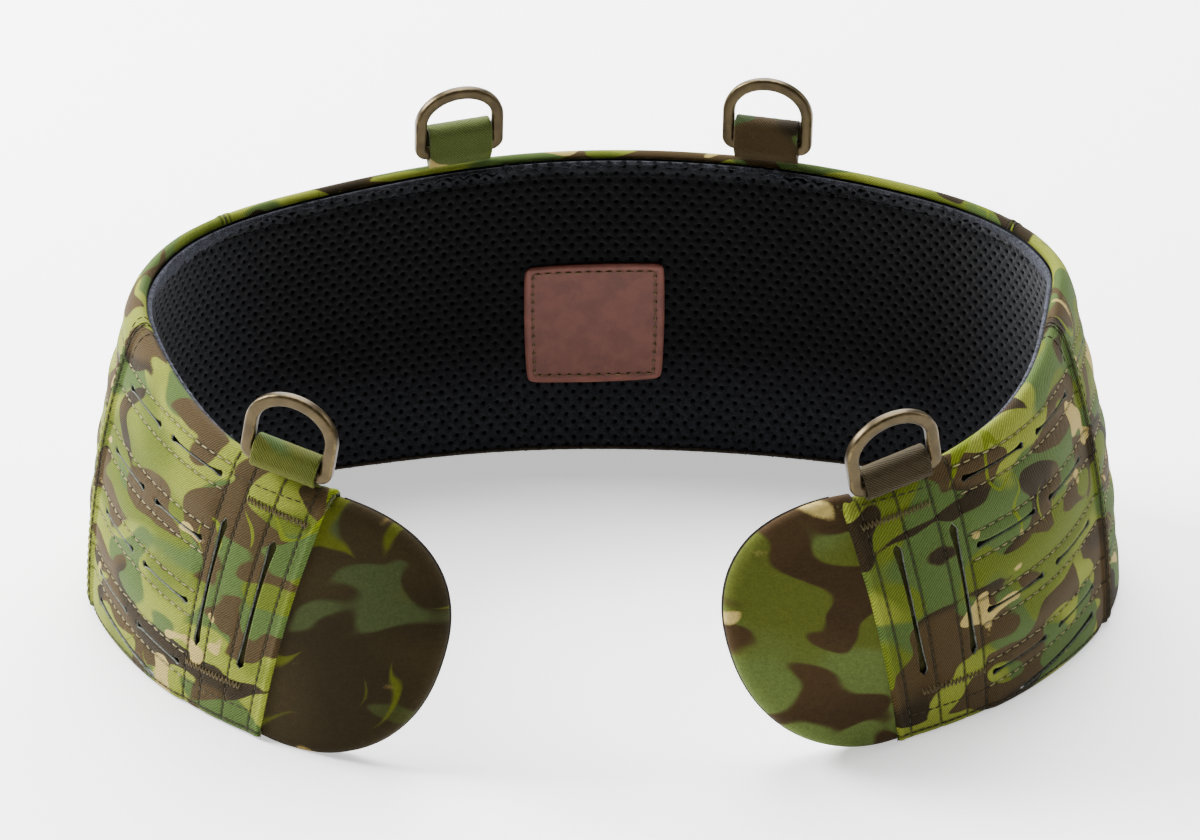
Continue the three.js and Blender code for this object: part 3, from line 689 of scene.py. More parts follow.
PANEL_CLOTH = camouflage_cloth("camouflage_laminate", TWILL, {"Seed": 1.0, "Brown Cover": 0.46}, sewn=True)
CUT_EDGE = plain_cloth("laminate_cut_edge", rgb(62, 66, 60), rgb(120, 126, 116), 20.0)
PADDING = plain_cloth("padding", rgb(30, 30, 13), rgb(62, 60, 28), 24.0)
BORDER = border_material()
LOWER_BORDER = plain_cloth("lining_lower_border", rgb(24, 20, 16), rgb(58, 50, 38), 16.0, strength=1.0)
BINDING = plain_cloth("binding", rgb(16, 13, 11), rgb(38, 31, 27))
LIGHT_THREAD = plain_cloth("light_thread", rgb(92, 86, 54), rgb(146, 136, 96))
# thread of the upright lines: its own dark olive-brown, made darker as painted shade of the puckered grooves
# it lies in
DARK_AND_SHADED_THREAD = plain_cloth("dark_and_shaded_thread", rgb(26, 24, 14), rgb(62, 56, 34))
TACK_THREAD = plain_cloth("tack_thread", rgb(48, 40, 22), rgb(92, 80, 50))
FRAY_THREAD = plain_cloth("fray_thread", rgb(44, 48, 24), rgb(104, 108, 64))
# dark thread of the lining, also used as painted shade: in the patch's needle holes, and on the pad behind
# the lining
LINING_THREAD_AND_SHADE = plain_cloth("lining_thread_and_shade", rgb(8, 8, 9), rgb(30, 31, 35))
PATCH_THREAD = plain_cloth("patch_thread", rgb(78, 62, 38), rgb(122, 102, 68))
LINING = lining_material()
ENAMEL = ring_material()
LEATHER = leather_material()

# Prints of the tongues and the straps, as values for the camouflage's inputs
TONGUE_PRINTS = {
    "left": {
        "Seed": 4.0,
        "Size": 1.25,
        "Blur": 3.0,
        "Brown Cover": 0.84,
        "Tan Cover": 0.16,
        "Twig Cover": 0.34,
        "Light": rgb(56, 58, 20),
        "Lime": rgb(42, 44, 16),
        "Sage": rgb(50, 57, 30),
        "Brown": rgb(42, 34, 17),
        "Dark": rgb(33, 27, 12),
        "Tan": rgb(124, 106, 58),
        "Twig": rgb(66, 70, 12),
    },
    "right": {
        "Seed": 2.0,
        "Size": 1.35,
        "Blur": 2.5,
        "Brown Cover": 0.52,
        "Tan Cover": 0.0,
        "Twig Cover": 0.05,
        "Light": rgb(84, 86, 26),
        "Lime": rgb(70, 76, 24),
        "Sage": rgb(76, 88, 42),
        "Brown": rgb(56, 42, 24),
        "Dark": rgb(48, 36, 20),
        "Twig": rgb(84, 88, 16),
    },
}
WEB_INPUTS = ("Seed", "Brown Cover", "Tan Cover", "Light", "Lime")
WEB_PRINTS = {
    "rear_left": (3.0, 0.1, 0.42, rgb(74, 84, 38), rgb(50, 62, 28)),
    "rear_right": (6.0, 0.7, 0.0, rgb(62, 78, 40), rgb(54, 68, 34)),
    "front_left": (5.0, 0.0, 0.0, rgb(76, 80, 23), rgb(70, 76, 22)),
    "front_right": (8.0, 0.4, 0.0, rgb(62, 54, 31), rgb(50, 42, 25)),
}


# Slotted panels


def first_row(place):
    """Height of the lowest slot row: height + slope (start - |place|), with the bracket kept between
    least and most. It is level round the back and falls with the wall toward the hem."""
    reach = np.clip(FIRST_ROW["start"] - np.abs(place), FIRST_ROW["least"], FIRST_ROW["most"])
    return FIRST_ROW["height"] + FIRST_ROW["slope"] * reach


def slot_half_width(inside, eye, slit, taper):
    """Half width of a slot a distance inside its nearer end: a circle of radius eye at the end,
    sqrt(eye^2 - (inside - eye)^2), that runs out into the slit as exp(-(inside - eye) / taper)."""
    circle = np.sqrt(np.clip(eye**2 - (inside - eye) ** 2, 0, None))
    tail = slit + (eye - slit) * np.exp(-np.clip(inside - eye, 0, None) / taper)
    return np.where(inside <= 0, 0, np.where(inside < eye, circle, tail))


def thinned(fixed, loose, clear):
    """Fixed places with the loose ones that keep clear of them, in order."""
    gap = np.abs(loose[:, None] - fixed[None, :]).min(axis=1) if len(fixed) else np.full(len(loose), 9.0)
    return np.unique(np.round(np.concatenate([fixed, loose[gap > clear]]), 4))


def panel_columns(low, high, slots, uprights):
    """Places of the grid's columns: an even pitch, closer at slot ends, seams and upright slots."""
    eye = SLOT_EYE * (1 - np.cos(np.radians([0, 30, 60, 90, 125, 160, 200])))
    eye[-1] = 2.2 * SLOT_EYE
    ends = [np.concatenate([c - SLOT_LENGTH / 2 + eye, c + SLOT_LENGTH / 2 - eye]) for c in slots]
    close = [np.array([low + x for x in (0, 0.25, 0.5, 1, 1.5, 2.1, 2.6, 3.1, 3.6, 4.6)])]
    close += [low + high - close[0]]
    near = np.array([0.9, 1.6, 2.3])
    split = [np.concatenate([u - near, [u], u + near]) for u in uprights]
    fixed = np.unique(np.round(np.concatenate(ends + close + split), 4))
    loose = np.linspace(low, high, int(round((high - low) / GRID_COLUMN)) + 1)
    return thinned(fixed, loose, 0.45)


def wander(place, travel, seed=0.0):
    """Slow unevenness of sewn cloth, about -1 to 1: a sum of sines of the two cloth coordinates."""
    waves = ((0.052, 0.031, 0.3), (0.021, -0.083, 1.9), (0.117, 0.064, 4.1), (-0.071, 0.142, 2.6))
    total = sum(np.sin(a * place + b * travel + c + seed) for a, b, c in waves)
    return total / len(waves)


def panel_relief(place, travel, rows, seams, hems, stitch_places):
    """How far the panel's face stands proud: ridges along seams and hems, quilting that puffs between
    the rows of stitches and sinks along them, and the cloth's own unevenness."""
    arc = BELT_MIDDLE + place
    over_rim = smooth(travel, station(RISE, arc) - 8, station(RISE, arc) + 3)
    from_row = np.min([np.abs(travel - row) for row in rows], axis=0)
    from_seam = np.min([np.abs(place - seam) for seam in seams], axis=0)
    quilted = (1 - over_rim) * smooth(from_seam, 1, 11) * (1 - smooth(np.abs(place), 361, 368))
    relief = 0.22 * wander(place, travel) * (0.35 + 0.65 * quilted)
    puff = 0.85 * smooth(from_row, STITCH_OFFSET, 12.0)
    from_stitches = from_row - STITCH_OFFSET
    puff = puff + 0.16 * np.sin(place * 2.1 + travel * 0.4) * np.exp(-((from_stitches / 2.4) ** 2))
    puff = puff - 0.25 * np.exp(-((from_stitches / 1.1) ** 2))
    puff = puff + 0.25 * np.exp(-((from_row / 3.0) ** 2))
    relief = relief + puff * quilted
    for line in stitch_places:
        relief = relief - 0.26 * np.exp(-(((place - line) / 0.9) ** 2)) * (1 - over_rim)
    relief = relief + np.interp(from_seam, SEAM_RIDGE[:, 0], SEAM_RIDGE[:, 1]) * (1 - 0.75 * over_rim)
    if len(hems):
        from_hem = np.min([np.abs(place - hem) for hem in hems], axis=0)
        relief = relief + np.interp(from_hem, HEM_RIDGE[:, 0], HEM_RIDGE[:, 1])
    return relief - 0.75 * np.exp(-travel / 1.1)


def panel_layout(name):
    """What each panel carries: its ends, slot columns, seams, hems and upright lines of stitches, and the
    side that its upright slots are on, if it has any."""
    plan = dict(hems=(), lines=(), side=0)
    if name == "back":
        end = BACK_SEAM - SEAM_GAP
        return dict(plan, low=-end, high=end, slots=BACK_COLUMNS, seams=(-end, end))
    part, side = name.split("_")
    sign = TONGUES[side]["side"]
    if part == "side":
        ends = sorted([sign * (BACK_SEAM + SEAM_GAP), sign * (HIP_SEAM - SEAM_GAP)])
        slots = [sign * c for c in SIDE_COLUMNS]
        return dict(plan, low=ends[0], high=ends[1], slots=slots, seams=ends)
    seam = sign * (HIP_SEAM + SEAM_GAP)
    low, high = sorted([seam, sign * HEM])
    slots = [sign * c for c in FRONT_COLUMNS]
    lines = [sign * p for p in UPRIGHT_LINES]
    return dict(low=low, high=high, slots=slots, seams=(seam,), hems=(sign * HEM,), lines=lines, side=sign)


def band_between(low, high, low_lips, high_lips):
    """Rows of the grid from one line to the next, closest by the stitches where the lines run side by
    side and even elsewhere. Each line's lips push its copy away by their half width, and the push fades
    as exp(-distance / 2)."""
    near = STITCH_OFFSET / ROW_PITCH
    far = 1 - STITCH_OFFSET / ROW_PITCH
    parts = [np.linspace(0, near, 5), np.linspace(near, far, 12)[1:], np.linspace(far, 1, 5)[1:]]
    share = np.concatenate(parts)
    if np.ptp(high - low) > 0.01:
        share = np.linspace(0, 1, max(3, int(round(np.mean(high - low) / GRID_ROW))) + 1)
    share = share[:, None]
    band = low + share * (high - low)
    if low_lips is not None:
        band = band + low_lips * np.exp(-(band - low) / 2.0) * (1 - share)
    if high_lips is not None:
        band = band - high_lips * np.exp(-(high - band) / 2.0) * share
    return band


def slot_lines(plan, columns):
    """Lines across a panel, each a height and a half width at every column: foot, edge slot, slot rows
    and the end over the rim. The first and last have no slot."""
    lines = [(np.full_like(columns, 0.3), None)]
    if plan["side"]:
        (far, low), (near, high) = EDGE_SLOT
        share = np.clip((far - np.abs(columns)) / (far - near), 0, 1)
        inside = np.minimum(far - np.abs(columns), np.abs(columns) - near)
        lips = slot_half_width(inside, SLOT_EYE, EDGE_SLOT_GAPE, EDGE_SLOT_TAPER)
        lines.append((low + share * (high - low), lips))
    inside = np.max([SLOT_LENGTH / 2 - np.abs(columns - c) for c in plan["slots"]], axis=0)
    inside = np.where(np.abs(inside) < 1e-3, 0, inside)
    lips = slot_half_width(inside, SLOT_EYE, SLOT_SLIT, SLOT_TAPER)
    lines += [(first_row(columns) + n * ROW_PITCH, lips) for n in range(ROWS)]
    return lines + [(full_travel(BELT_MIDDLE + columns), None)]


def slotted_panel(name):
    """Panel on a grid of cloth coordinates. The grid's lines follow the slot rows, each slot line is
    there twice, and its two copies part by the slot's half width and are one where there is no slot."""
    plan = panel_layout(name)
    uprights = [plan["side"] * slot[0] for slot in UPRIGHT_SLOTS] if plan["side"] else []
    places = panel_columns(plan["low"], plan["high"], plan["slots"], uprights)
    columns = np.sort(np.concatenate([places, uprights]))
    lines = slot_lines(plan, columns)
    bands = [band_between(a[0], b[0], a[1], b[1]) for a, b in zip(lines[:-1], lines[1:])]
    copies = np.cumsum([len(band) for band in bands])[:-1]
    travel = np.vstack(bands)
    place = np.broadcast_to(columns, travel.shape).copy()
    index = np.arange(travel.size).reshape(travel.shape)
    for row, (_, lips) in zip(copies, lines[1:-1]):
        shut = lips <= 0
        index[row, shut] = index[row - 1, shut]
    open_rows = np.ones(len(travel) - 1, bool)
    open_rows[copies - 1] = False
    open_columns = np.ones(len(columns) - 1, bool)
    for upright, (_, low, high) in zip(uprights, UPRIGHT_SLOTS):
        column = int(np.flatnonzero(np.isclose(columns, upright))[0])
        inside = np.minimum(travel[:, column] - low, high - travel[:, column])
        lips = slot_half_width(inside, UPRIGHT_EYE, UPRIGHT_SLIT, UPRIGHT_TAPER)
        for step_out in range(4):
            fade = math.exp(-0.45 * step_out)
            place[:, column - step_out] -= lips * fade
            place[:, column + 1 + step_out] += lips * fade
        shut = lips <= 0
        index[shut, column + 1] = index[shut, column]
        open_columns[column] = False
    rows = [first_row(columns) + n * ROW_PITCH for n in range(ROWS)]
    relief = panel_relief(place, travel, rows, plan["seams"], plan["hems"], plan["lines"])
    points = rolled(BELT_MIDDLE + place, travel, relief)
    quads = np.stack([index[:-1, :-1], index[1:, :-1], index[1:, 1:], index[:-1, 1:]], -1)
    quads = quads[open_rows][:, open_columns].reshape(-1, 4)
    coords = np.stack([place, travel], -1)
    node = "panel_" + name
    marks = dict(slot="camouflage_laminate", replaces=[node])
    made = new_piece(node + "_cloth", points, quads, coords, [PANEL_CLOTH, CUT_EDGE], **marks)
    solidify(made, PANEL_THICKNESS, 1)


# Threads


def surface_normal(surface, place, travel):
    """Outward normal of a surface of cloth coordinates, from its two differences."""
    up = surface(place, travel + 0.4) - surface(place, travel - 0.4)
    along = surface(place + 0.4, travel) - surface(place - 0.4, travel)
    return unit(np.cross(up, along))


def stitches(name, runs, surface, material, slot):
    """Short threads along runs of cloth coordinates: each is a bar whose section (four corners) swells
    from a third at its ends to full in the middle, half sunk in the cloth. Its sizes are in SEWING."""
    width, height, length, gap = SEWING[name]
    starts, ends = [], []
    for run in runs:
        run = np.asarray(run, float)
        reach = np.concatenate([[0], np.cumsum(np.linalg.norm(np.diff(run, axis=0), axis=1))])
        count = max(1, int((reach[-1] + gap) // (length + gap)))
        first = (reach[-1] - count * (length + gap) + gap) / 2 + np.arange(count) * (length + gap)
        for found, at in ((starts, first), (ends, first + length)):
            found.append(np.column_stack([np.interp(at, reach, run[:, k]) for k in (0, 1)]))
    start, end = np.vstack(starts), np.vstack(ends)
    swell = np.array([(0.0, 0.35), (0.22, 1.0), (0.78, 1.0), (1.0, 0.35)])
    corners = np.array([(-0.5, -0.5), (-0.3, 1.0), (0.3, 1.0), (0.5, -0.5)])
    where = start[:, None] + (end - start)[:, None] * swell[:, :1]
    centre = surface(where[..., 0], where[..., 1])
    normal = surface_normal(surface, where[..., 0], where[..., 1])
    along = unit(centre[:, -1] - centre[:, 0])[:, None]
    across = np.cross(normal, along)
    size = swell[:, 1][None, :, None, None]
    offset = across[:, :, None] * corners[:, :1] * width + normal[:, :, None] * corners[:, 1:] * height
    points = centre[:, :, None] + offset * size
    count = len(points)
    tube = grid_faces(4, 4, wrap_columns=True, flip=True)
    caps = np.array([(0, 1, 2, 3), (15, 14, 13, 12)])
    faces = (np.vstack([tube, caps])[None] + 16 * np.arange(count)[:, None, None]).reshape(-1, 4)
    coords = np.broadcast_to(where[:, :, None], (*points.shape[:3], 2)).copy()
    coords[..., 0] += corners[:, 0] * width
    new_piece(name, points, faces, coords, material, slot=slot)


def panel_surface(place, travel):
    """The panels' face with its relief, for threads that lie on it."""
    rows = [first_row(place) + n * ROW_PITCH for n in range(ROWS)]
    seams = [s * (p + SEAM_GAP * k) for s in (-1, 1) for p in (BACK_SEAM, HIP_SEAM) for k in (-1, 1)]
    lines = [s * p for s in (-1, 1) for p in UPRIGHT_LINES]
    relief = panel_relief(place, travel, rows, seams, (-HEM, HEM), lines)
    return rolled(BELT_MIDDLE + place, travel, relief)


def row_runs():
    """Pairs of stitch lines above and below each slot row, from seam to seam."""
    runs = []
    spans = [(SEAM_MARGIN - BACK_SEAM, BACK_SEAM - SEAM_MARGIN)]
    for sign in (-1, 1):
        spans.append(sorted((sign * (BACK_SEAM + SEAM_MARGIN), sign * (HIP_SEAM - SEAM_MARGIN))))
        spans.append(sorted((sign * (HIP_SEAM + SEAM_MARGIN), sign * ROW_END)))
    for low, high in spans:
        place = np.linspace(low, high, 60)
        top = station(RISE, BELT_MIDDLE + place) + 1
        for n in range(ROWS):
            for offset in (-STITCH_OFFSET, STITCH_OFFSET):
                height = np.minimum(first_row(place) + n * ROW_PITCH + offset, top)
                runs.append(np.column_stack([place, height]))
    return runs


def upright_runs():
    """Lines of stitches up the hems, the front channels and both sides of each seam, over the rim at the
    hip seams, across the top and bottom of each hem and along the front panels' lower edge."""
    runs = []
    for sign in (-1, 1):
        for place in UPRIGHT_LINES:
            top = station(RISE, BELT_MIDDLE + sign * place) + 2.0
            runs.append([(sign * place, 1.5), (sign * place, top)])
        for seam in (BACK_SEAM, HIP_SEAM):
            for offset in (-SEAM_LINE, SEAM_LINE):
                place = sign * (seam + offset)
                travel = np.linspace(2, station(RISE, BELT_MIDDLE + place) - 4, 20)
                runs.append(np.column_stack([np.full(20, place), travel]))
        for line, lean in ((1.5, 0.0), (-3.6, -0.9), (6.6, 0.9)):
            base = sign * (HIP_SEAM + line)
            start = station(RISE, BELT_MIDDLE + base) - 9
            travel = np.linspace(start, full_travel(BELT_MIDDLE + base) - 0.6, 16)
            bend = lean * 2.2 * np.sin(np.linspace(0, math.pi / 2, 16))
            runs.append(np.column_stack([base + sign * bend, travel]))
        fold = sign * np.linspace(UPRIGHT_LINES[0], UPRIGHT_LINES[-1], 20)
        runs.append(np.column_stack([fold, np.linspace(93.0, 90.5, 20)]))
        runs.append(np.column_stack([fold, np.full(20, 9.5)]))
        lower = np.linspace(HIP_SEAM + SEAM_MARGIN, HEM - 1, 40) * sign
        runs.append(np.column_stack([lower, np.full(40, FOOT_LINE)]))
    return runs


def bar_tacks():
    """Zigzag of short threads across a line, as on a bar tack: top and bottom of each front channel."""
    runs = []
    for sign in (-1, 1):
        for (p0, h0), (p1, h1) in BAR_TACKS:
            place = sign * np.linspace(p0, p1, TACK_POINTS)
            height = np.linspace(h0, h1, TACK_POINTS) + TACK_REACH * (-1.0) ** np.arange(TACK_POINTS)
            line = np.column_stack([place, height])
            runs += list(np.stack([line[:-1], line[1:]], axis=1))
    return runs


def fray_runs():
    """Loose thread ends at the corners of each hem, each on a short line of its own from a seeded draw."""
    draw = np.random.default_rng(7)
    runs = []
    for sign in (-1, 1):
        for corner, count in FRAYED_CORNERS:
            place = HEM - draw.uniform(0.0, 1.0, count)
            height = corner + draw.uniform(-3.0, 2.0, count)
            end_place = place + draw.uniform(0.5, 1.9, count)
            end_height = height + draw.uniform(-1.2, 1.4, count)
            start = np.column_stack([sign * place, np.maximum(height, LOWEST_FRAY)])
            end = np.column_stack([sign * end_place, np.maximum(end_height, LOWEST_FRAY)])
            runs += list(np.stack([start, end], axis=1))
    return runs


# Lining, padding and tongues


def tongue_edge(side, angle, taller=0.0):
    """Edge of a tongue, as distances past its hem and heights: the superellipse |cos|^p, |sin|^p with p
    2 / fullness, which drops with its reach."""
    size = TONGUES[side]
    power = 2 / size["fullness"]
    reach = np.abs(np.cos(angle)) ** power
    rise = (TONGUE_HALF + taller) * np.sign(np.sin(angle)) * np.abs(np.sin(angle)) ** power
    return size["length"] * reach, TONGUE_HALF - size["drop"] * reach + rise


def perimeter(count=620):
    """Outline of the lining as places and heights, from the left tip over the top to the right tip and
    back along the floor: the rim, with each tongue's edge past its hem."""
    half = np.linspace(math.pi / 2, 0, 70)

    def tongue(side, angle):
        """Places and heights of a tongue's edge."""
        past, height = tongue_edge(side, angle)
        return TONGUES[side]["side"] * (HEM + past), height

    place = np.linspace(-HEM, HEM, count)
    top = station(RISE, BELT_MIDDLE + place)
    left_up = tongue("left", half[::-1])
    right_down = tongue("right", half)
    right_back = tongue("right", -half[::-1])
    left_back = tongue("left", -half)
    floor = np.zeros(count)
    pieces = [left_up, (place, top), right_down, right_back, (place[::-1], floor), left_back]
    points = np.column_stack([np.concatenate([p[k] for p in pieces]) for k in (0, 1)])
    apart = np.linalg.norm(points - np.roll(points, 1, axis=0), axis=1) > 0.15
    return points[apart]


def inward(points):
    """Unit normals of a closed outline, into it."""
    along = np.roll(points, -3, axis=0) - np.roll(points, 3, axis=0)
    return unit(np.column_stack([along[:, 1], -along[:, 0]]))


def band_along(outline, normal, section):
    """Closed band carried round an outline of cloth coordinates: section gives, for each of its points,
    how far into the outline and how deep it lies. Returns points and cloth coordinates."""
    into = section[..., 0]
    where = outline[:, None] + normal[:, None] * into[..., None]
    height = np.maximum(where[..., 1], 0.02)
    return wall(BELT_MIDDLE + where[..., 0], height, section[..., 1]), where


def lining_border(outline, normal):
    """Bound edge of the lining: the spacer mesh pressed flat, wide along the rim at the sides and front,
    narrow at the back, along the floor and round the tongues, with a fuzzy uneven inner edge."""
    on_rim = (outline[:, 1] > 60) & (np.abs(outline[:, 0]) < HEM)
    wide = 1.7 + 7.3 * smooth(np.abs(outline[:, 0]), 130, 240)
    width = np.where(on_rim, wide, np.where(outline[:, 1] < 0.5, 2.0, 3.6))
    width = np.convolve(np.concatenate([width[-8:], width, width[:8]]), np.ones(17) / 17, "valid")
    ragged = wander(outline[:, 0] * 9, outline[:, 1] * 9)
    ragged = ragged + 1.5 * wander(outline[:, 0] * 31, outline[:, 1] * 31, 2.0)
    width = width + ragged * np.where(on_rim, 1.0, 0.3)
    profile = [(1.2, 6.35), (0.25, 6.7), (0.0, 7.2), (0.35, 7.9), (1.1, 8.3)]
    section = np.empty((len(outline), 9, 2))
    section[:, :5] = profile
    section[:, 5] = np.column_stack([width * 0.6, np.full(len(width), 8.4)])
    section[:, 6] = np.column_stack([width, np.full(len(width), 8.25)])
    section[:, 7] = np.column_stack([width + 0.3, np.full(len(width), 7.3)])
    section[:, 8] = np.column_stack([width * 0.5, np.full(len(width), 6.9)])
    bumps = wander(outline[:, 0] * 23, outline[:, 1] * 23, 4.0)
    section[:, 2:7, 1] += 0.3 * bumps[:, None] * np.array([0.3, 0.7, 1.0, 0.8, -0.8])
    points, coords = band_along(outline, normal, section)
    faces = grid_faces(len(outline), 9, wrap_rows=True, wrap_columns=True)
    # painted sheen: the border's colour turns lighter toward the sides of the belt
    aside = np.repeat(0.25 + 0.75 * smooth(np.abs(outline[:, 0]), 120, 220), 9)
    cloths = [BORDER, LOWER_BORDER]
    made = new_piece("lining_border", points, faces, coords, cloths, slot="lining_mesh", rubbed=aside)
    low = np.repeat(outline[:, 1] < 0.5, 9)
    made.data.polygons.foreach_set("material_index", low.astype(np.int32))


def lining_field():
    """Spacer mesh as a sheet of six-sided cells in staggered rows, each with a well: a ring of six
    corners, the well's rim, and a smaller ring at its floor. Neighbours share their corners."""
    last = int(LINING_SPAN / MESH_PITCH)
    column, row = np.meshgrid(np.arange(-last // 2, last // 2 + 1), np.arange(LINING_ROWS))
    centre_place = (column + 0.5 * (row % 2)) * MESH_PITCH
    centre_height = (row + 0.8) * MESH_ROW
    past = np.abs(centre_place) - HEM
    left, right = TONGUES["left"], TONGUES["right"]
    length = np.where(centre_place < 0, left["length"], right["length"])
    drop = np.where(centre_place < 0, left["drop"], right["drop"])
    share = np.clip(past / (length - LINING_MARGIN), 0, 1)
    half = (TONGUE_HALF - LINING_MARGIN) * (1 - share**LINING_FULLNESS) ** (1 / LINING_FULLNESS)
    middle = TONGUE_HALF - drop * share
    on_tongue = past > -LINING_MARGIN
    top = np.where(on_tongue, middle + half, station(RISE, BELT_MIDDLE + centre_place) - 1.5)
    bottom = np.where(on_tongue, middle - half, 0.6)
    inside = (centre_height < top) & (centre_height > bottom) & (past < length - LINING_MARGIN)
    centre = np.stack([centre_place[inside], centre_height[inside]], -1)
    half_width = MESH_PITCH / 2
    corner_high = (half_width**2 + MESH_ROW**2) / 2 / MESH_ROW
    corner_side = corner_high - half_width * half_width / MESH_ROW
    corners = np.array(
        [
            (half_width, corner_side),
            (0, corner_high),
            (-half_width, corner_side),
            (-half_width, -corner_side),
            (0, -corner_high),
            (half_width, -corner_side),
        ]
    )
    angle = np.radians([30, 90, 150, 210, 270, 330])
    ring = np.column_stack([np.cos(angle), np.sin(angle)])
    flat = np.concatenate([corners, ring * (WELL_RADIUS + 0.12), ring * WELL_RADIUS * 0.8])
    depth = np.repeat([LINING_DEPTH - 0.12, LINING_DEPTH, LINING_DEPTH - WELL_DEPTH], 6)
    # how far each ring of a cell goes toward black: painted shade, deepest on the well's floor
    shade = np.repeat([0.0, 0.15, 1.0], 6)
    where = centre[:, None] + flat
    faces = grid_faces(3, 6, wrap_columns=True)
    floor = np.array([(12, 13, 14, 15), (12, 15, 16, 17)])[:, ::-1]
    faces = (np.vstack([faces, floor])[None] + 18 * np.arange(len(centre))[:, None, None]).reshape(-1, 4)
    # Corners that fall together are made one. The shift keeps them off a place where rounding flips.
    rounded = np.round(where.reshape(-1, 2) * 40 + 0.137).astype(int)
    _, first, merged = np.unique(rounded, axis=0, return_index=True, return_inverse=True)
    faces = first[merged.ravel()][faces]
    from_top = station(RISE, BELT_MIDDLE + where[..., 0]) - where[..., 1]
    depth = np.broadcast_to(depth, where.shape[:2]) + 0.18 * wander(where[..., 0], where[..., 1], 3.0)
    depth = depth - 0.8 * np.exp(-(((from_top - LINING_LINE) / 1.3) ** 2))
    points = wall(BELT_MIDDLE + where[..., 0], np.maximum(where[..., 1], 0.1), depth)
    well = np.broadcast_to(shade, where.shape[:2])
    # Lighter grey fluff: the fuzzy band below the top edge, partly painted sheen; painted sheen toward the
    # sides; lighter toward the floor
    uneven = 2.2 * wander(where[..., 0] * 3, where[..., 1] * 3, 1.0)
    aside = smooth(np.abs(where[..., 0]), 120, 250)
    rubbed = 1 - smooth(from_top + uneven, 2.5, LINING_LINE + 1.5 + 5 * aside)
    rubbed = rubbed * (0.4 + 0.6 * aside)
    rubbed = np.maximum(rubbed, 0.03 + 0.62 * aside + 0.35 * (1 - smooth(where[..., 1], 5, 55)))
    marks = dict(slot="lining_mesh", replaces=["mesh_lining"], well=well, rubbed=rubbed)
    return new_piece("mesh_lining_field", points, faces, where, LINING, **marks)


def lining_stitching():
    """Line of stitches that holds the lining down below its top edge."""

    def surface(place, height):
        """The lining's face, as deep as its sewn line presses it."""
        return wall(BELT_MIDDLE + place, height, LINING_DEPTH - 0.7)

    place = np.linspace(-HEM + 4, HEM - 4, 300)
    run = np.column_stack([place, station(RISE, BELT_MIDDLE + place) - LINING_LINE])
    stitches("lining_stitching", [run], surface, LINING_THREAD_AND_SHADE, "lining_mesh")


def pad_body(outline, normal):
    """Foam pad under its cover, a closed roll carried round the outline: rounded at its edge, and flat
    behind the panels and the lining as far in as half the wall's height, or 9 mm round the tongues."""
    edge = np.array([(3.0, 1.7), (1.0, 1.9), (0.2, 3.0), (0.0, 4.2), (0.3, 5.2), (1.2, 5.6)])
    shares = np.array([1.0, 0.8, 0.6, 0.4, 0.2])
    reach = station(RISE, BELT_MIDDLE + outline[:, 0]) / 2
    reach = np.where(np.abs(outline[:, 0]) > HEM + 1, 9.0, reach)
    first, last = len(shares), len(shares) + len(edge)
    section = np.empty((len(outline), last + len(shares), 2))
    section[:, :first, 0] = reach[:, None] * shares
    section[:, :first, 1] = 2.0
    section[:, first:last] = edge
    section[:, last:, 0] = reach[:, None] * shares[::-1]
    section[:, last:, 1] = 5.7
    on_tongue = np.abs(outline[:, 0]) > HEM - 2
    section[..., 1] += np.where(on_tongue, 0.9, 0)[:, None] * (section[..., 1] < 4)
    points, coords = band_along(outline, normal, section)
    faces = grid_faces(len(outline), section.shape[1], wrap_rows=True, wrap_columns=True)
    cloths = [PADDING, LINING_THREAD_AND_SHADE]
    made = new_piece("pad_roll", points, faces, coords, cloths, slot="padding", replaces=["pad_core"])
    # the pad's face behind the lining is dark: painted shade where it shows through gaps at the lining's
    # edges
    behind_lining = np.tile(np.arange(section.shape[1]) > last - 3, len(outline))
    made.data.polygons.foreach_set("material_index", behind_lining.astype(np.int32))
    return made


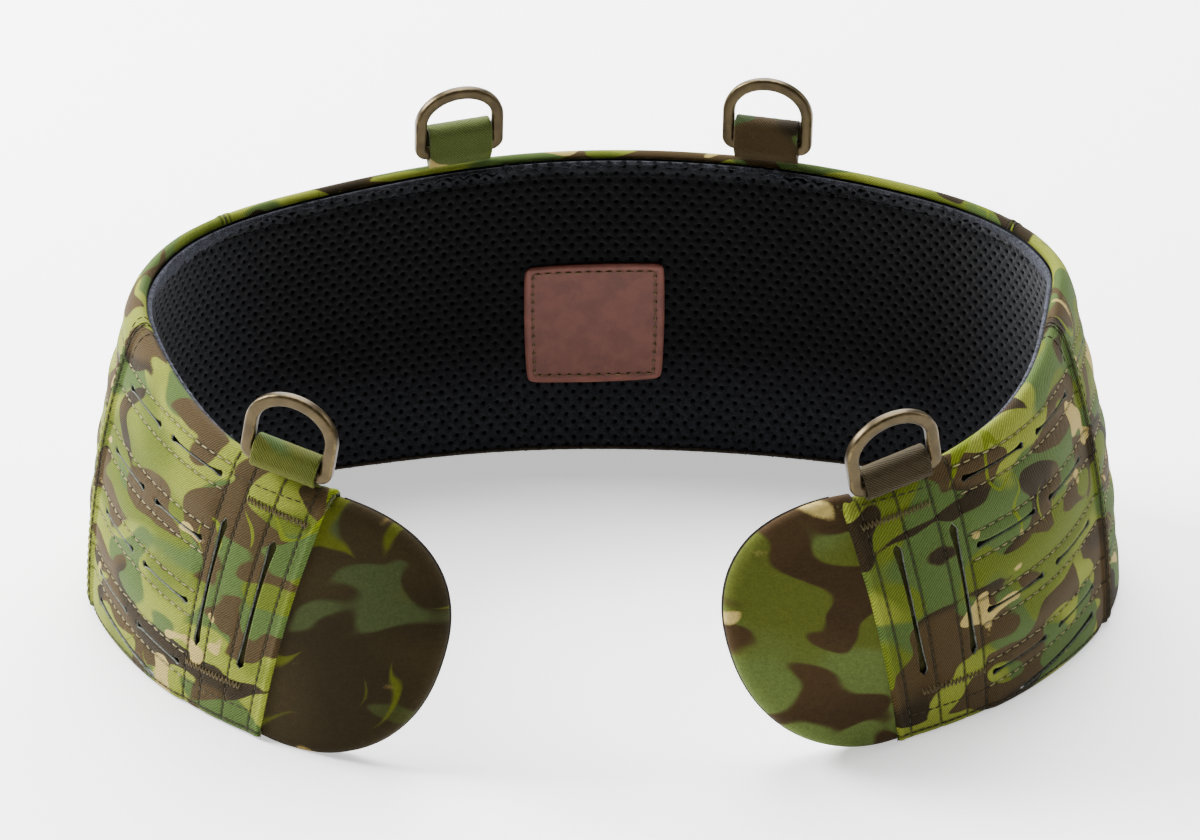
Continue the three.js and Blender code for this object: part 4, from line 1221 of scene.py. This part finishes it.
def tongue_cover(side):
    """Cover of a tongue: a fan from the middle of its hem to its edge. Its face is crowned and rolls over
    the edge: depth 1.5 - crown + 2.7 (1 - sqrt(1 - t^2)), with t from 0 to 1 over TONGUE_ROLL."""
    sign = TONGUES[side]["side"]
    rim_place, rim_height = tongue_edge(side, np.linspace(-math.pi / 2, math.pi / 2, 150))
    start = np.array([-5.0, TONGUE_HALF])
    rim = np.column_stack([rim_place, rim_height])
    rim[0, 0] = rim[-1, 0] = 0.0
    lead = np.array([(-5.0, rim_height[0]), (-2.5, rim_height[0])])
    tail = np.array([(-2.5, rim_height[-1]), (-5.0, rim_height[-1])])
    rim = np.vstack([lead, rim, tail])
    spoke = rim - start
    length = np.linalg.norm(spoke, axis=1)
    share = np.linspace(0.02, 0.88, 26)
    into = TONGUE_ROLL * (1 - np.sin(np.linspace(0.12, math.pi / 2, 14)))
    edge = 1 - into[None, :] / length[:, None]
    scale = np.concatenate([np.broadcast_to(share, (len(rim), len(share))), edge], axis=1)
    scale = np.sort(scale, axis=1)
    where = start + spoke[:, None] * scale[..., None]
    from_edge = np.clip(1 - (1 - scale) * length[:, None] / TONGUE_ROLL, 0, 1)
    crown = TONGUE_CROWN * (1 - scale**2)
    depth = 1.5 - crown + 2.7 * (1 - np.sqrt(np.clip(1 - from_edge**2, 0, 1)))
    depth = depth + 0.12 * wander(where[..., 0] * 2, where[..., 1] * 2, 5.0)
    tail_depth = depth[:, -1:] + 1.0
    where = np.concatenate([where, where[:, -1:] - 0.004 * spoke[:, None]], axis=1)
    depth = np.concatenate([depth, tail_depth], axis=1)
    arc = BELT_MIDDLE + sign * (HEM + where[..., 0])
    points = wall(arc, np.maximum(where[..., 1], 0.05), depth)
    rows, columns = points.shape[:2]
    middle = wall(BELT_MIDDLE + sign * (HEM + start[0]), start[1], depth[:, 0].mean())
    points = np.vstack([points.reshape(-1, 3), middle[None]])
    coords = np.stack([sign * (HEM + where[..., 0]), where[..., 1]], -1).reshape(-1, 2)
    coords = np.vstack([coords, [[sign * (HEM + start[0]), start[1]]]])
    quads = grid_faces(rows, columns, flip=sign > 0)
    first = np.arange(rows) * columns
    fan = np.column_stack([first[:-1], first[1:], np.full(rows - 1, rows * columns)])
    fan = fan if sign > 0 else fan[:, ::-1]
    cloth = camouflage_cloth("loop_cloth_" + side, FUZZ, TONGUE_PRINTS[side], 19.0, 0.8, 0.95, 0.04)
    marks = dict(slot="loop_cloth", replaces=["tongue_face_" + side])
    made = new_piece("tongue_cover_" + side, points, [quads, fan], coords, cloth, **marks)
    solidify(made, 0.8)


def edge_cord(side):
    """Thin dark binding round a tongue's edge: a circle carried along the outline."""
    steps, sides = 160, 8
    angle = np.linspace(-math.pi / 2 + 0.02, math.pi / 2 - 0.02, steps)
    past, height = tongue_edge(side, angle, taller=0.2)
    place = TONGUES[side]["side"] * (HEM + past + 0.35)
    height = np.maximum(height, 1.0)
    centre = wall(BELT_MIDDLE + place, height, 4.9)
    along = unit(np.gradient(centre, axis=0))
    _, _, square, _ = wall_frame(BELT_MIDDLE + place)
    side_way = unit(np.cross(along, square))
    turn = np.linspace(0, 2 * math.pi, sides, endpoint=False)
    ring = side_way[:, None] * np.cos(turn)[None, :, None] + square[:, None] * np.sin(turn)[None, :, None]
    points = centre[:, None] + EDGE_CORD_RADIUS * ring
    coords = np.stack(np.broadcast_arrays(np.arange(steps)[:, None], np.arange(sides)[None, :] * 0.4), -1)
    faces = grid_faces(steps, sides, wrap_columns=True, flip=True)
    new_piece("edge_cord_" + side, points, faces, coords, BINDING, slot="camouflage_laminate")


# Webbing, rings and patch


def turned(axis, degrees):
    """Rotation matrix about the local X or Y axis."""
    c, s = math.cos(math.radians(degrees)), math.sin(math.radians(degrees))
    if axis == "X":
        return np.array([(1, 0, 0), (0, c, -s), (0, s, c)])
    return np.array([(c, 0, s), (0, 1, 0), (-s, 0, c)])


def rim_frame(loop, up=0.0, out=0.0, tilt=0.0):
    """Origin and axes of a loop on the rim: x along the rim, y up and z inward, then turned by its yaw
    and lean, moved up and out, and tilted outward."""

    def rim_at(arc):
        """The loop's foot, at a place along the rim."""
        return wall(arc, station(RISE, arc) + loop["lift"], loop["depth"])

    x = unit(rim_at(loop["middle"] + 1) - rim_at(loop["middle"] - 1))
    _, _, square, _ = wall_frame(np.array(float(loop["middle"])))
    y = unit(np.cross(-square, x))
    axes = np.column_stack([x, y, np.cross(x, y)])
    axes = axes @ turned("Y", loop["yaw"]) @ turned("X", -loop["lean"])
    origin = rim_at(loop["middle"]) + axes @ np.array([0, up, -out])
    return origin, axes @ turned("X", -tilt)


def hull_of_circles(circles, angles):
    """Band pulled tight round circles: for each direction, the farthest circle's point that way."""
    direction = np.column_stack([np.cos(angles), np.sin(angles)])
    centres = np.array([c[:2] for c in circles], float)
    radii = np.array([c[2] for c in circles], float)
    farthest = np.argmax(direction @ centres.T + radii, axis=1)
    return centres[farthest] + radii[farthest, None] * direction


def webbing_loop(name):
    """Webbing folded over a ring's bar. Its outer and inner faces are bands pulled tight round circles,
    carried across the width, with edges that thin out and a slight ripple in the outer face."""
    loop = LOOPS[name]
    outer_radius = EYE_RADIUS + WEB_THICKNESS
    bar, crown = (-loop["out"], loop["rise"]), (-loop["out"], loop["rise"] + loop["eye"])
    angles = np.linspace(-math.pi / 2, 1.5 * math.pi, 241)
    foot = (0, WEB_THICKNESS, WEB_THICKNESS)
    outer = hull_of_circles([foot, (*bar, outer_radius), (*crown, outer_radius)], angles)
    inner = hull_of_circles([(*bar, EYE_RADIUS), (*crown, EYE_RADIUS)], angles)
    reach = np.concatenate([[0], np.cumsum(np.linalg.norm(np.diff(outer, axis=0), axis=1))])
    steps = 120
    at = np.linspace(0, reach[-1], steps, endpoint=False)
    outer = np.column_stack([np.interp(at, reach, outer[:, k]) for k in (0, 1)])
    inner = np.column_stack([np.interp(at, reach, inner[:, k]) for k in (0, 1)])
    half = WEB_WIDTH / 2
    shares = np.array([0.2, 0.4, 0.6, 0.8, 0.95, 0.985, 1])
    across = half * np.concatenate([-shares[::-1], [0], shares])
    thin = 0.3 * np.array([1.0, 0.4, 0, 0, 0, 0, 0, 0, 0, 0, 0, 0, 0, 0.4, 1.0])
    way = unit(outer - inner)
    weave = 0.07 * np.sin(at[:, None] * 2.1 + across[None, :] * 1.3)
    skin = outer[:, None] - way[:, None] * (thin[None, :] + weave)[..., None]
    lining = inner[:, None] + way[:, None] * (thin[None, :] * 0.6)[..., None]
    profile = np.concatenate([skin, lining[:, ::-1]], axis=1)
    width = np.concatenate([across, across[::-1]])
    local = np.stack([np.broadcast_to(width, profile.shape[:2]), profile[..., 1], profile[..., 0]], -1)
    origin, axes = rim_frame(loop)
    points = origin + local @ axes.T
    coords = np.stack(np.broadcast_arrays(width[None, :], at[:, None]), -1)
    faces = grid_faces(steps, len(width), wrap_rows=True, wrap_columns=True, flip=True)
    pattern = {"Sage Cover": 0.0, "Twig Cover": 0.0, **dict(zip(WEB_INPUTS, WEB_PRINTS[name]))}
    cloth = camouflage_cloth("webbing_" + name, TWILL, pattern, 9.0, 0.9, 0.6)
    marks = dict(slot="webbing", replaces=["webbing_loop_" + name])
    new_piece("strap_" + name, points, faces, coords, cloth, **marks)


def ring_outline(inset, corner_steps=14, crown_steps=72, side_steps=10):
    """Outline of a D a distance in from its outer edge: bar, round corners, legs and half an ellipse."""
    half = RING["half_width"] - inset
    corner = max(RING["corner"] - inset, 0.8)
    bottom = inset - RING["wire"] / 2

    def arc(x, y, across, up, start, end, steps):
        """Part of the ellipse (x + across cos, y + up sin), without its end."""
        turn = np.linspace(start, end, steps, endpoint=False)
        return np.column_stack([x + across * np.cos(turn), y + up * np.sin(turn)])

    def line(a, b, steps):
        """Points from a toward b, without b."""
        share = np.linspace(0, 1, steps, endpoint=False)[:, None]
        return np.array(a) + share * (np.array(b) - np.array(a))

    quarter = math.pi / 2
    return np.vstack(
        [
            line((corner - half, bottom), (half - corner, bottom), 2 * side_steps),
            arc(half - corner, bottom + corner, corner, corner, -quarter, 0, corner_steps),
            line((half, bottom + corner), (half, RING["leg"]), side_steps),
            arc(0, RING["leg"], half, RING["crown"] - inset, 0, 2 * quarter, crown_steps),
            line((-half, RING["leg"]), (-half, bottom + corner), side_steps),
            arc(corner - half, bottom + corner, corner, corner, 2 * quarter, 3 * quarter, corner_steps),
        ]
    )


def d_ring(name):
    """Ring whose section is a rounded bar, |x/a|^n + |z/b|^n = 1 with n RING_SQUARENESS, carried round
    the D's outline."""
    loop = LOOPS[name]
    turn = np.linspace(0, 2 * math.pi, 28, endpoint=False)
    power = 2 / RING_SQUARENESS
    across = np.sign(np.cos(turn)) * np.abs(np.cos(turn)) ** power
    deep = np.sign(np.sin(turn)) * np.abs(np.sin(turn)) ** power
    half = RING["wire"] / 2
    rings = np.stack([ring_outline(half * (1 - c)) for c in across], axis=1)
    z = np.broadcast_to(RING["thickness"] / 2 * deep, rings.shape[:2])
    local = np.concatenate([rings, z[..., None]], axis=-1)
    origin, axes = rim_frame(loop, loop["rise"], loop["out"], loop["tilt"])
    points = origin + local @ axes.T
    coords = np.stack(np.broadcast_arrays(np.arange(len(rings))[:, None] * 0.7, turn[None, :] * 2), -1)
    edge = smooth(np.abs(across), 0.55, 0.9) * smooth(np.abs(deep), 0.35, 0.75)
    edge = np.broadcast_to(edge, rings.shape[:2])
    faces = grid_faces(*rings.shape[:2], wrap_rows=True, wrap_columns=True)
    marks = dict(body="ring_" + name, slot="ring_enamel", replaces=["d_ring_" + name], shade=edge)
    new_piece("ring_" + name, points, faces, coords, ENAMEL, **marks)


def patch_shape(u, v):
    """Place and height of a patch point, u and v from -1 to 1: a rectangle whose corners are rounded by
    pulling in each coordinate where the other is near its end, with slightly bowed sides."""
    half_width, half_height = PATCH["width"] / 2, (PATCH["high"] - PATCH["low"]) / 2
    x, y = u * half_width, v * half_height
    pull = 1 - 0.2 * PATCH["corner"] / half_width * (np.abs(u) ** 14) * (np.abs(v) ** 14)
    x, y = x * pull, y * pull
    x = x + 0.5 * np.sign(u) * np.abs(u) ** 3 * np.cos(v * 1.7) - 0.4
    y = y - 1.2 * (v < 0) * (1 - u**2) * np.abs(v) ** 3 + 0.7 * u * np.abs(v) ** 3
    return PATCH["middle"] - BELT_MIDDLE + x, (PATCH["low"] + PATCH["high"]) / 2 + y


def patch_surface(u, v, lift=0.0):
    """Face of the patch, with its place, its height and how far it is pressed: a raised border outside
    the stitch line, a pressed groove along it and a flat field inside, all rounding down at the edge."""
    place, height = patch_shape(u, v)
    edge = np.maximum(np.abs(u), np.abs(v))
    groove = np.exp(-(((edge - PATCH_LINE) / 0.02) ** 2))
    field = smooth(PATCH_LINE - edge, 0.0, 0.05)
    thick = 1.5 * np.sqrt(np.clip(1 - smooth(edge, 0.94, 1.0) ** 2 * 0.75, 0, 1))
    thick = thick - 0.35 * groove - 0.35 * field + 0.1 * wander(place * 3, height * 3, 1.0)
    face = wall(BELT_MIDDLE + place, height, LINING_DEPTH + 0.2 + thick + lift)
    return face, place, height, np.clip(groove + 0.35 * field, 0, 1)


def leather_patch():
    """Closed slab on a grid that is finer toward its edges, face and back joined round the border."""
    t = np.linspace(-1, 1, 71)
    t = np.sign(t) * (1 - (1 - np.abs(t)) ** 1.35)
    u, v = np.meshgrid(t, t)
    face, place, height, pressed = patch_surface(u, v)
    back = wall(BELT_MIDDLE + place, height, LINING_DEPTH - 0.1)
    count = len(t)
    index = np.arange(count * count).reshape(count, count)
    quads = grid_faces(count, count, flip=True)
    border = np.concatenate([index[0, :-1], index[:-1, -1], index[-1, :0:-1], index[:0:-1, 0]])
    after = np.roll(border, -1)
    skirt = np.column_stack([border, after, after + count * count, border + count * count])[:, ::-1]
    points = np.vstack([face.reshape(-1, 3), back.reshape(-1, 3)])
    coords = np.tile(np.stack([place, height], -1).reshape(-1, 2), (2, 1))
    shade = np.concatenate([pressed.ravel(), np.zeros(pressed.size)])
    faces = np.vstack([quads, quads[:, ::-1] + count * count, skirt])
    marks = dict(slot="patch_leather", replaces=["leather_patch"], shade=shade)
    new_piece("patch", points, faces, coords, LEATHER, **marks)


def patch_stitching():
    """Lockstitch inside the patch's border: tan threads over wider and lower dark bars, which are painted
    shade in the needle holes.
    """

    def surface(u, v):
        """The patch's face, over the square that its stitches are drawn on."""
        return patch_surface(u / PATCH_SPAN, v / PATCH_SPAN, 0.02)[0]

    line = PATCH_LINE * PATCH_SPAN
    corners = [(-line, -line), (line, -line), (line, line), (-line, line), (-line, -line)]
    runs = [np.linspace(a, b, 30)[::-1] for a, b in zip(corners[:-1], corners[1:])]
    stitches("patch_thread", runs, surface, PATCH_THREAD, "patch_leather")
    # painted shade in the needle holes, drawn as dark bars under the threads
    stitches("patch_needle_hole_shade", runs, surface, LINING_THREAD_AND_SHADE, "patch_leather")


# Scene


def camera_and_light():
    """Camera where the photograph was taken from, a pale floor and soft light from above and round it."""
    data = bpy.data.cameras.new("camera")
    data.sensor_width = 36
    data.lens = LENS
    camera = bpy.data.objects.new("camera", data)
    camera.location = CAMERA_PLACE
    camera.rotation_euler = (math.radians(90 - CAMERA_TILT), 0, 0)
    bpy.context.scene.collection.objects.link(camera)
    bpy.context.scene.camera = camera
    floor_mesh = bpy.data.meshes.new("floor")
    corners = [(x * FLOOR_HALF, y * FLOOR_HALF, 0) for x, y in ((-1, -1), (1, -1), (1, 1), (-1, 1))]
    floor_mesh.from_pydata(corners, [], [(0, 1, 2, 3)])
    floor = bpy.data.objects.new("floor", floor_mesh)
    floor.location.z = -FLOOR_DROP
    paint = bpy.data.materials.new("floor")
    paint.use_nodes = True
    finish = paint.node_tree.nodes["Principled BSDF"]
    finish.inputs["Base Color"].default_value = (0.95, 0.95, 0.95, 1)
    finish.inputs["Roughness"].default_value = 0.9
    finish.inputs["Emission Color"].default_value = (1, 1, 1, 1)
    finish.inputs["Emission Strength"].default_value = FLOOR_GLOW
    floor_mesh.materials.append(paint)
    bpy.context.scene.collection.objects.link(floor)
    for name, place, target, width, power in LAMPS:
        lamp = bpy.data.lights.new(name, "AREA")
        lamp.shape = "SQUARE"
        lamp.size = width
        lamp.energy = power
        made = bpy.data.objects.new(name, lamp)
        made.location = place
        way = [t - p for t, p in zip(target, place)]
        flat = math.hypot(way[0], way[1])
        made.rotation_euler = (math.atan2(flat, -way[2]), 0, math.atan2(-way[0], way[1]))
        bpy.context.scene.collection.objects.link(made)
    world = bpy.data.worlds.new("studio")
    bpy.context.scene.world = world
    world.use_nodes = True
    sky = world.node_tree.nodes["Background"]
    sky.inputs["Color"].default_value = (1, 1, 1, 1)
    sky.inputs["Strength"].default_value = SKY_LIGHT


for panel in ("back", "side_left", "side_right", "front_left", "front_right"):
    slotted_panel(panel)
stitches("row_stitching", row_runs(), panel_surface, LIGHT_THREAD, "camouflage_laminate")
# upright lines: dark thread, partly painted shade
stitches("upright_stitching", upright_runs(), panel_surface, DARK_AND_SHADED_THREAD, "camouflage_laminate")
stitches("bar_tacks", bar_tacks(), panel_surface, TACK_THREAD, "camouflage_laminate")
stitches("hem_fray", fray_runs(), panel_surface, FRAY_THREAD, "camouflage_laminate")
outline = perimeter()
normal = inward(outline)
pad = pad_body(outline, normal)
lining_border(outline, normal)
lining = lining_field()
lining_stitching()
for side in TONGUES:
    tongue_cover(side)
    edge_cord(side)
leather_patch()
patch_stitching()
for name in LOOPS:
    webbing_loop(name)
    d_ring(name)
camera_and_light()
